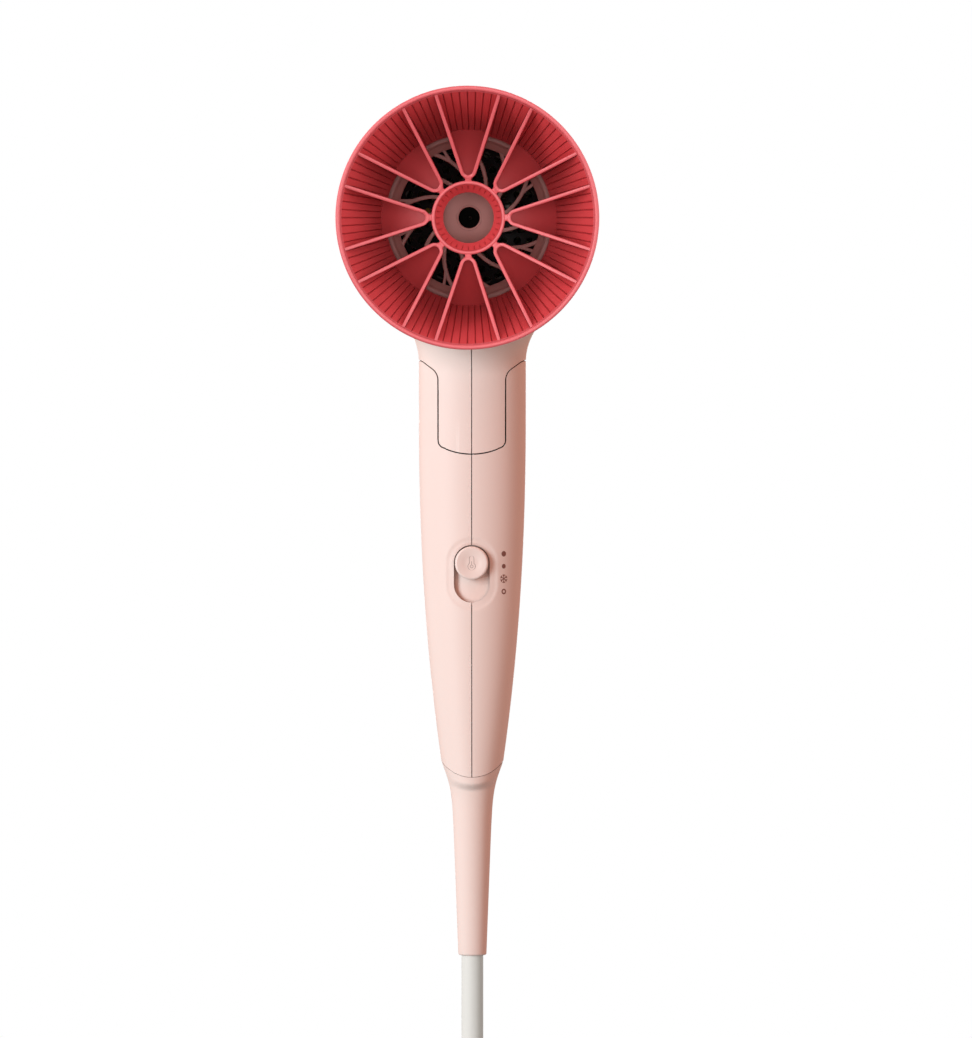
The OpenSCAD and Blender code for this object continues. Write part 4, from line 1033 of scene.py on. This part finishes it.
def petal(d, at):
    """One petal: a sloping floor between two fins that meet round its tip, and its neck."""
    sine, cosine = math.sin(d.splay), math.cos(d.splay)
    centre_x = d.apex + at.spread / (1 - sine)
    tip_r = (centre_x - d.apex) * sine
    touch_x = centre_x - tip_r * sine

    def floor_s(radius):
        share = (radius - d.ring / 2) / (at.base_r - d.ring / 2)
        return at.tip + (at.base - at.tip) * share

    def half_width(x):
        if x < touch_x:
            return math.sqrt(max(tip_r ** 2 - (x - centre_x) ** 2, 0.0004))
        return (x - d.apex) * math.tan(d.splay)

    end_x = (at.inner + 0.6) * cosine
    outward = [(touch_x + (end_x - touch_x) * i / 12, half_width(touch_x + (end_x - touch_x) * i / 12))
               for i in range(1, 13)]
    tip = arc(centre_x, 0, tip_r, 90 + math.degrees(d.splay), 270 - math.degrees(d.splay), 24)
    path = outward[::-1] + tip + [(x, -y) for x, y in outward]

    def under(radius):
        wall_s = at.bowl + (radius - d.hole / 2) / (at.inner - d.hole / 2) * (at.rim - at.bowl)
        return max(floor_s(radius) if radius < at.base_r else 0, wall_s) - 0.8

    def crest(radius):
        return fin_front(d, at, radius)

    fins = rib(path, d.fin / 2, under, crest)
    tip_x = centre_x - tip_r
    stations = [tip_x, tip_x + 0.15, tip_x + 0.5, tip_x + 1.1, touch_x]
    stations += [touch_x + (at.base_r + 0.9 - touch_x) * i / 8 for i in range(1, 9)]
    plates, across = [], 10
    for x in stations:
        ring = [(x, half_width(x) * (2 * k / across - 1)) for k in range(across + 1)]
        upper = [(a, y, floor_s(math.hypot(a, y))) for a, y in ring]
        plates.append(upper + [(a, y, z - 1.2) for a, y, z in upper[::-1]])
    neck = rib([(x, 0) for x in (d.ring / 2 - 0.6, d.ring / 2, d.ring / 2 + 0.5, d.ring / 2 + 1.0,
                                 tip_x + 0.3)], 1.0, under, crest)
    for vertex in neck.data.vertices:
        spread = smooth_step(d.ring / 2 + 0.4, tip_x + 0.3, vertex.co.x) * 0.9
        root = (1 - smooth_step(d.ring / 2 - 0.6, d.ring / 2 + 0.4, vertex.co.x)) * 0.5
        vertex.co.y *= 1 + spread + root
    return join(fins, skin(plates), neck)


def takes_painted_highlight(d, at, face):
    """True for a forward-facing face on the rim, on a fin's front edge or on the hub ring's front. These
    faces get the painted highlight.
    """
    radius, forward = math.hypot(face.center.x, face.center.y), face.center.z
    if face.normal.z < 0.25:
        return False
    if radius > at.inner:
        return forward > at.rim - 1.2
    if radius < d.ring / 2:
        return radius > d.ring / 2 - 1.2 and forward > at.hub - 0.7
    return forward > fin_front(d, at, radius) - 0.6


def build_diffuser(context, finishes):
    """The whole diffuser as one moulding."""
    d, head = sizes(context, "dryer_diffuser"), sizes(context, "dryer_head")
    at = diffuser_levels(d)
    first = petal(d, at)
    petals = []
    for k in range(d.petals):
        turn = Matrix.Rotation(math.radians(90) + 2 * math.pi * k / d.petals, 4, "Z")
        petals.append(moved(twin(first), turn))
    bpy.data.meshes.remove(first.data)
    made = join(bowl(d, at, head), hub_ring(d, at), *petals)
    # Painted highlight: forward-facing edges take the paler copy of the coral.
    highlit_faces = [face.index for face in made.data.polygons if takes_painted_highlight(d, at, face)]
    piece("finned_diffuser", moved(made, ABOUT_HEAD), "diffuser", finishes["coral"],
          ["diffuser"], crease=28)
    made.data.materials.append(finishes["edge"])
    for index in highlit_faces:
        made.data.polygons[index].material_index = 1


# ---------- Outlet grille ----------

def vane_path(g, steps=18):
    """Line of a vane in plan: its angle grows steadily with radius."""
    start, end = g.hub / 2 - 0.8, g.across / 2 - g.ring_w + 0.8
    return [((start + (end - start) * i / steps) * math.cos(g.turn * i / steps),
             (start + (end - start) * i / steps) * math.sin(g.turn * i / steps)) for i in range(steps + 1)]


def build_grille(context, finishes):
    """Ring, curved vanes with forked roots, and a domed hub with its round hole."""
    g = sizes(context, "dryer_grille")
    back, front = COLLAR_END - 7, COLLAR_END - 1
    out, inner = g.across / 2, g.across / 2 - g.ring_w
    ring = turned([(inner, back), (out, back), (out, front - 1.0), (out - 0.3, front - 0.3),
                   (out - 0.8, front), (out - 2.0, front), (out - 2.4, front - 0.25),
                   (out - 2.7, front - 1.0), (out - 3.1, front - 1.4), (inner + 0.5, front - 1.9),
                   (inner, front - 2.5)], even(192), ABOUT_HEAD)
    hub, hole, top = g.hub / 2, g.hole / 2, COLLAR_END - 0.4
    dome = [(hub * math.cos(math.radians(a)) if a < 90 else 0, top - 3.2 + 2.6 * math.sin(math.radians(a)))
            for a in range(0, 64, 7)]
    boss = turned([(hub - 1.6, back), (hub, back), *dome, *arc(hole + 0.5, top - 1.1, 0.5, 80, 180, 8),
                   (hole, top - 5.0), (hub - 1.6, top - 5.0)], even(128), ABOUT_HEAD)
    crest = front - 2.2
    path = vane_path(g)
    fork = [path[12]]
    for k, back_turn in ((15, 4), (18, 9)):
        spot = Matrix.Rotation(math.radians(-back_turn), 2) @ Vector(path[k])
        fork.append(tuple(spot))
    vanes = []
    for k in range(g.vanes):
        turn = Matrix.Rotation(2 * math.pi * k / g.vanes - math.radians(1), 4, "Z")
        for line, half_t in ((path, g.vane / 2), (fork, g.vane / 2 * 0.8)):
            vanes.append(moved(rib(line, half_t, lambda _: back + 0.4, lambda _: crest, 0.35),
                               ABOUT_HEAD @ turn))
    made = join(ring, boss, *vanes)
    piece("swirl_grille", made, "head", finishes["mauve"], ["outlet_grille"])


# ---------- Cord ----------

def side_step(x0, x1, y, z0, sweep):
    """S-bend that carries the cord sideways as it goes down. Ends at the returned height."""
    move = abs(x1 - x0)
    turn = math.acos(1 - move / (2 * sweep))
    way = 1 if x1 > x0 else -1
    steps = 8
    points = []
    for i in range(1, steps + 1):
        a = turn * i / steps
        points.append((x0 + way * sweep * (1 - math.cos(a)), y, z0 - sweep * math.sin(a)))
    end_z = z0 - 2 * sweep * math.sin(turn)
    for i in range(steps - 1, -1, -1):
        a = turn * i / steps
        points.append((x1 - way * sweep * (1 - math.cos(a)), y, end_z + sweep * math.sin(a)))
    return points, end_z


def cord_route(c):
    """Centre line: straight down, into the hank's first run, its turns, and out to the plug."""
    radius = 3 * c.across
    route = [(0, 0, CORD_EXIT_Z - z) for z in (0, 10, 20, 30, 40, 50)]
    top = CORD_EXIT_Z - c.lead_in - radius - c.across / 2
    bottom = top - c.run
    step, _ = side_step(0, -radius, 0, CORD_EXIT_Z - c.lead_in, c.sweep)
    route += step
    for k in range(c.turns):
        y, y_next = k * c.pitch, (k + 1) * c.pitch
        route += [(-radius * math.cos(math.radians(a)), y, bottom - radius * math.sin(math.radians(a)))
                  for a in range(0, 181, 7)]
        route += [(radius, y + (y_next - y) * smooth_step(0, 1, u), bottom + c.run * u)
                  for u in (0.1, 0.3, 0.5, 0.7, 0.9)]
        route += [(radius * math.cos(math.radians(a)), y_next, top + radius * math.sin(math.radians(a)))
                  for a in range(0, 181, 7)]
        if k < c.turns - 1:
            route += [(-radius, y_next, top - c.run * u) for u in (0.2, 0.4, 0.6, 0.8)]
    y = c.turns * c.pitch
    leave = bottom + 8
    route += [(-radius, y, top + (leave - top) * u) for u in (0.25, 0.5, 0.75, 1.0)]
    step, end_z = side_step(-radius, 0, y, leave, c.sweep)
    route += step
    plug_top = bottom - radius - c.across / 2 - c.tail
    route += [(0, y, end_z + (plug_top - end_z) * u) for u in (0.5, 1.0)]
    return [Vector(p) for p in route]


def strap_outline(c, beyond, z):
    """Round-cornered loop round the hank's turns at one height."""
    half, deep, radius = 3 * c.across, c.turns * c.pitch, c.across / 2 + beyond
    corners = ((half, deep, 0), (-half, deep, 90), (-half, 0, 180), (half, 0, 270))
    return [(x, y, z) for cx, cy, start in corners for x, y in arc(cx, cy, radius, start, start + 90, 10)]


def build_strap(context, finishes):
    """Woven strap that holds the hank together, with a press stud on its front."""
    c = sizes(context, "dryer_cord")
    middle = CORD_EXIT_Z - c.lead_in - 3 * c.across - c.across / 2 - c.run / 2
    cloth, weave, hem, free, steps = 0.95, 0.12, 0.3, 0.06, 48
    outer = []
    for k in range(2 * steps + 1):
        z = c.strap / 2 * (k / steps - 1)
        at_hem = abs(z) > c.strap / 2 - 0.1
        beyond = cloth - weave * abs(math.sin(z * 2.2)) - (hem if at_hem else 0)
        outer.append(strap_outline(c, beyond, middle + z))
    inner = [strap_outline(c, free, middle + z) for z in (-c.strap, c.strap)]
    band = piece("cord_strap", cut(skin(outer), skin(inner)), "handle", finishes["strap"],
                 ["cord_tie"])
    place = Matrix.Translation((0, -c.across / 2 - 0.85, middle)) @ Matrix.Rotation(math.radians(90), 4, "X")
    dome = [(0, -0.2), (4.2, -0.2), (4.2, 0.05), (3.9, 0.2), (3.2, 0.24), (2.8, 0.1), (0, 0.1)]
    stud = piece("strap_stud", turned(dome, even(48), place), "handle", finishes["steel"])
    return [band, stud]


def build_cord(context, finishes):
    """Mains lead: one smooth line from the strain relief through the hank to the plug."""
    c = sizes(context, "dryer_cord")
    route = cord_route(c)
    obj = piece("mains_lead", wire([(route, False)], c.across / 2, 6), "handle", finishes["jacket"],
                ["cord", "cord_hank", "cord_tail"], scale=1.0)
    plug = [frame["nodes"][name] for name in ("plug_body", "plug_pins", "plug_earth")]
    plug + build_strap(context, finishes)


# ---------- CAD nodes that stay ----------

KEPT = {
    "slot_shutter": "button", "hinge_washers": "nylon", "cord_clamp": "nylon", "impeller": "nylon",
    "fan_duct": "nylon", "motor_cap": "nylon", "pivot_screw": "steel", "handle_screw": "steel",
    "motor_shaft": "steel", "motor_case": "steel", "motor_bearings": "steel", "ion_needle": "steel",
    "thermostat": "steel", "thermal_fuse": "brass", "plug_earth": "brass", "plug_pins": "nickel",
    "switch_body": "black", "board_parts": "black", "ion_module": "black", "ion_nozzle": "black",
    "outlet_screen": "black", "control_board": "board", "intake_filter": "mesh",
    "motor_mount": "rubber", "heater_sleeve": "mica", "heater_board_flat": "mica",
    "heater_board_upright": "mica", "heater_coil": "wire", "inner_lead": "jacket",
    "plug_body": "jacket", "rear_cover": "shell",
}


def dress_kept_nodes(finishes):
    """Gives each CAD node that stays its finish."""
    for name, key in KEPT.items():
        if name in frame["nodes"]:
            obj = frame["nodes"][name]
            obj.data.materials.clear()
            obj.data.materials.append(finishes[key])
            obj.data.shade_smooth()
            obj.data.set_sharp_from_angle(angle=math.radians(35))


def all_finishes(context):
    """Every finish, made once."""
    if not FINISHES:
        tones = context.scene.dryer_colours
        shell = tuple(tones.shell)
        FINISHES.update({
            "shell": matt_abs(shell), "button": satin_abs(shell), "elastomer": soft_elastomer(shell),
            # The edge finish is a paler copy of the coral: a painted highlight.
            "coral": coral_polycarbonate(tuple(tones.coral)), "edge": coral_painted_highlight(tuple(tones.coral)),
            "mauve": mauve_nylon(tuple(tones.mauve)),
            "jacket": pvc_jacket(tuple(tones.jacket)), "ink": printed_ink(tuple(tones.print_ink)),
            "sign": printed_ink(shaded(shell, 0.5)), "steel": plain_steel(), "nickel": nickel_plate(),
            "brass": spring_brass(), "nylon": natural_nylon(), "black": black_nylon(),
            "board": solder_mask(), "mesh": etched_mesh(), "rubber": black_rubber(),
            "mica": pressed_mica(), "wire": oxidised_wire(), "strap": woven_strap(),
        })
    return FINISHES


FINISHES = {}


# ---------- Stage ----------

def look_at(obj, target):
    """Points a light or camera at a place."""
    obj.rotation_mode = "QUATERNION"
    obj.rotation_quaternion = (Vector(target) - obj.location).to_track_quat("-Z", "Y")


def lit_by(context, lamp, name, place, receivers):
    """Places a light that faces the handle and falls only on one set of pieces.

    Nothing but the blush pieces casts a shadow on the blush pieces, as under a wide even sky.
    """
    obj = bpy.data.objects.new(name, lamp)
    obj.location = place
    look_at(obj, (0, 0, 0.04))
    obj.visible_camera = False
    if receivers:
        obj.light_linking.receiver_collection = receivers
    if receivers and receivers.name == "blush_pieces":
        obj.light_linking.blocker_collection = receivers
    context.scene.collection.objects.link(obj)


def soft_box(context, name, place, width, tint, power, receivers=None):
    """Large rectangular soft box."""
    lamp = bpy.data.lights.new(name, "AREA")
    lamp.shape = "RECTANGLE"
    lamp.size, lamp.size_y = width
    lamp.energy = power
    lamp.color = tint
    lit_by(context, lamp, name, place, receivers)


def bounce(context, name, tint, receivers):
    """Even bounced light from four sides. The tint carries its strength."""
    for k in range(4):
        lamp = bpy.data.lights.new(f"{name}_bounce_{k}", "SUN")
        lamp.energy = 2.6
        lamp.color = tint
        lamp.angle = math.radians(110)
        turn = math.pi / 2 * k
        lit_by(context, lamp, lamp.name, (3 * math.cos(turn), 3 * math.sin(turn), 0.4), receivers)


def receivers_of(name, *keys):
    """Collection of the pieces that wear the given finishes."""
    found = bpy.data.collections.new(name)
    wanted = [FINISHES[key] for key in keys]
    for obj in bpy.data.objects:
        if obj.type in ("MESH", "CURVE") and obj.data.materials and obj.data.materials[0] in wanted:
            found.objects.link(obj)
    return found


def build_camera(context):
    """Long lens in front of the handle, a little to the right and above."""
    v = context.scene.dryer_studio
    aim = Vector((v.aim_x, 0, v.aim_z))
    back = Vector((math.sin(v.azimuth) * math.cos(v.elevation),
                   -math.cos(v.azimuth) * math.cos(v.elevation), math.sin(v.elevation)))
    lens = bpy.data.cameras.new("camera")
    lens.lens = v.lens
    lens.clip_end = 50
    camera = bpy.data.objects.new("camera", lens)
    camera.location = aim + back * v.distance
    look_at(camera, aim)
    context.scene.collection.objects.link(camera)
    context.scene.camera = camera


def build_studio(context):
    """Pale floor, white surround and soft light from the left."""
    v = context.scene.dryer_studio
    world = bpy.data.worlds.new("white_room")
    world.use_nodes = True
    tree = world.node_tree
    tree.nodes.clear()
    rays = add_node(tree, "ShaderNodeLightPath")
    seen = add_node(tree, "ShaderNodeBackground", {"Color": (1, 1, 1, 1), "Strength": 1.0})
    fill = add_node(tree, "ShaderNodeBackground", {"Color": (1, 1, 1, 1), "Strength": 0.2})
    mixed = add_node(tree, "ShaderNodeMixShader", {}, {0: rays.outputs["Is Camera Ray"],
                                                       1: fill.outputs[0], 2: seen.outputs[0]})
    add_node(tree, "ShaderNodeOutputWorld", {}, {"Surface": mixed.outputs[0]})
    context.scene.world = world
    context.scene.view_settings.view_transform = "Standard"

    blush = ("shell", "button", "elastomer", "ink", "sign")
    coral = ("coral", "edge", "mauve")
    rest = [key for key in FINISHES if key not in blush + coral]
    for name, keys, key_tint, key_power, bounce_tint in (
            ("blush", blush, (0.74, 0.94, 1.0), 42.5, (0.32, 0.09, 0.033)),
            ("coral", coral, (0.9, 0.97, 1.0), 12.0, (0.72, 0.72, 0.72)),
            ("plain", rest, (0.95, 0.98, 1.0), 38.0, (0.28, 0.24, 0.21))):
        pieces = receivers_of(f"{name}_pieces", *keys)
        soft_box(context, f"{name}_key", (-1.53, -1.65, 0.3), (0.9, 1.4), key_tint, key_power, pieces)
        soft_box(context, f"{name}_edge", (-1.6, 0.5, 0.3), (0.8, 1.4), key_tint, key_power / 14, pieces)
        bounce(context, name, bounce_tint, pieces)
        if name == "coral":
            soft_box(context, "front_panel", (0.05, -3.0, 0.14), (1.4, 1.4), (1, 1, 1), 10.0, pieces)
    soft_box(context, "back_panel", (0.0, 2.4, 0.5), (1.4, 1.4), (1.0, 0.97, 0.95), 22.0)
    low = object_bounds()[0].z
    half = v.floor / 2
    mesh = bpy.data.meshes.new("studio_floor")
    mesh.from_pydata([(-half, -half, low), (half, -half, low), (half, half, low), (-half, half, low)],
                     [], [(0, 1, 2, 3)])
    mesh.materials.append(finish("pale_floor", linear("#F1F0EE"), linear("#EDECEA"), 0.8, 3.0, 0.02))
    floor = bpy.data.objects.new("studio_floor", mesh)
    context.scene.collection.objects.link(floor)
    floor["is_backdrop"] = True


# ---------- Operators ----------

class DRYER_OT_camera(bpy.types.Operator):
    """Set the long-lens camera in front of the handle"""
    bl_idname = "dryer.camera"
    bl_label = "Camera"

    def execute(self, context):
        build_camera(context)
        return {"FINISHED"}


class DRYER_OT_cord(bpy.types.Operator):
    """Make the mains lead with its tied hank"""
    bl_idname = "dryer.cord"
    bl_label = "Mains lead"

    def execute(self, context):
        build_cord(context, all_finishes(context))
        return {"FINISHED"}


class DRYER_OT_relief(bpy.types.Operator):
    """Make the strain relief at the foot of the handle"""
    bl_idname = "dryer.relief"
    bl_label = "Strain relief"

    def execute(self, context):
        build_relief(context, all_finishes(context))
        return {"FINISHED"}


class DRYER_OT_handle(bpy.types.Operator):
    """Make the two handle mouldings"""
    bl_idname = "dryer.handle"
    bl_label = "Handle"

    def execute(self, context):
        build_handle(context, all_finishes(context))
        return {"FINISHED"}


class DRYER_OT_plugs(bpy.types.Operator):
    """Make the dark plates and strip that keep the hinge's gaps dark as painted shade, and the covers over
    the two screws
    """
    bl_idname = "dryer.plugs"
    bl_label = "Hinge and screw covers"

    def execute(self, context):
        build_plugs(context, all_finishes(context))
        return {"FINISHED"}


class DRYER_OT_marks(bpy.types.Operator):
    """Make the printed marks beside the slot"""
    bl_idname = "dryer.marks"
    bl_label = "Printed marks"

    def execute(self, context):
        build_marks(context, all_finishes(context))
        return {"FINISHED"}


class DRYER_OT_button(bpy.types.Operator):
    """Make the sliding button and its sign"""
    bl_idname = "dryer.button"
    bl_label = "Button"

    def execute(self, context):
        build_button(context, all_finishes(context))
        return {"FINISHED"}


class DRYER_OT_head(bpy.types.Operator):
    """Make the two head mouldings with the neck"""
    bl_idname = "dryer.head"
    bl_label = "Head"

    def execute(self, context):
        build_head(context, all_finishes(context))
        return {"FINISHED"}


class DRYER_OT_grille(bpy.types.Operator):
    """Make the outlet grille"""
    bl_idname = "dryer.grille"
    bl_label = "Outlet grille"

    def execute(self, context):
        build_grille(context, all_finishes(context))
        return {"FINISHED"}


class DRYER_OT_diffuser(bpy.types.Operator):
    """Make the finned diffuser"""
    bl_idname = "dryer.diffuser"
    bl_label = "Diffuser"

    def execute(self, context):
        build_diffuser(context, all_finishes(context))
        return {"FINISHED"}


class DRYER_OT_kept(bpy.types.Operator):
    """Give the pieces that are already shaped their finishes"""
    bl_idname = "dryer.kept"
    bl_label = "Inner pieces"

    def execute(self, context):
        dress_kept_nodes(all_finishes(context))
        return {"FINISHED"}


class DRYER_OT_studio(bpy.types.Operator):
    """Set the floor, the white surround and the lights"""
    bl_idname = "dryer.studio"
    bl_label = "Studio"

    def execute(self, context):
        build_studio(context)
        return {"FINISHED"}


STEPS = (DRYER_OT_camera, DRYER_OT_cord, DRYER_OT_relief, DRYER_OT_handle, DRYER_OT_plugs, DRYER_OT_marks,
         DRYER_OT_button, DRYER_OT_head, DRYER_OT_grille, DRYER_OT_diffuser, DRYER_OT_kept,
         DRYER_OT_studio)


class DRYER_PT_steps(bpy.types.Panel):
    """Lists every step in the order it is made"""
    bl_idname = "DRYER_PT_steps"
    bl_label = "Hair Dryer"
    bl_space_type = "VIEW_3D"
    bl_region_type = "UI"
    bl_category = "Hair Dryer"

    def draw(self, context):
        for made in STEPS:
            self.layout.operator(made.bl_idname)


CLASSES = (*GROUPS.values(), *STEPS, DRYER_PT_steps)


def register():
    for made in CLASSES:
        bpy.utils.register_class(made)
    for name, group in GROUPS.items():
        setattr(bpy.types.Scene, name, bpy.props.PointerProperty(type=group))


def unregister():
    for name in GROUPS:
        delattr(bpy.types.Scene, name)
    for made in reversed(CLASSES):
        bpy.utils.unregister_class(made)


def main():
    register()
    bpy.ops.dryer.camera()
    bpy.ops.dryer.cord()
    bpy.ops.dryer.relief()
    bpy.ops.dryer.handle()
    bpy.ops.dryer.plugs()
    bpy.ops.dryer.marks()
    bpy.ops.dryer.button()
    bpy.ops.dryer.head()
    bpy.ops.dryer.grille()
    bpy.ops.dryer.diffuser()
    bpy.ops.dryer.kept()
    bpy.ops.dryer.studio()


if __name__ == "__main__":
    main()
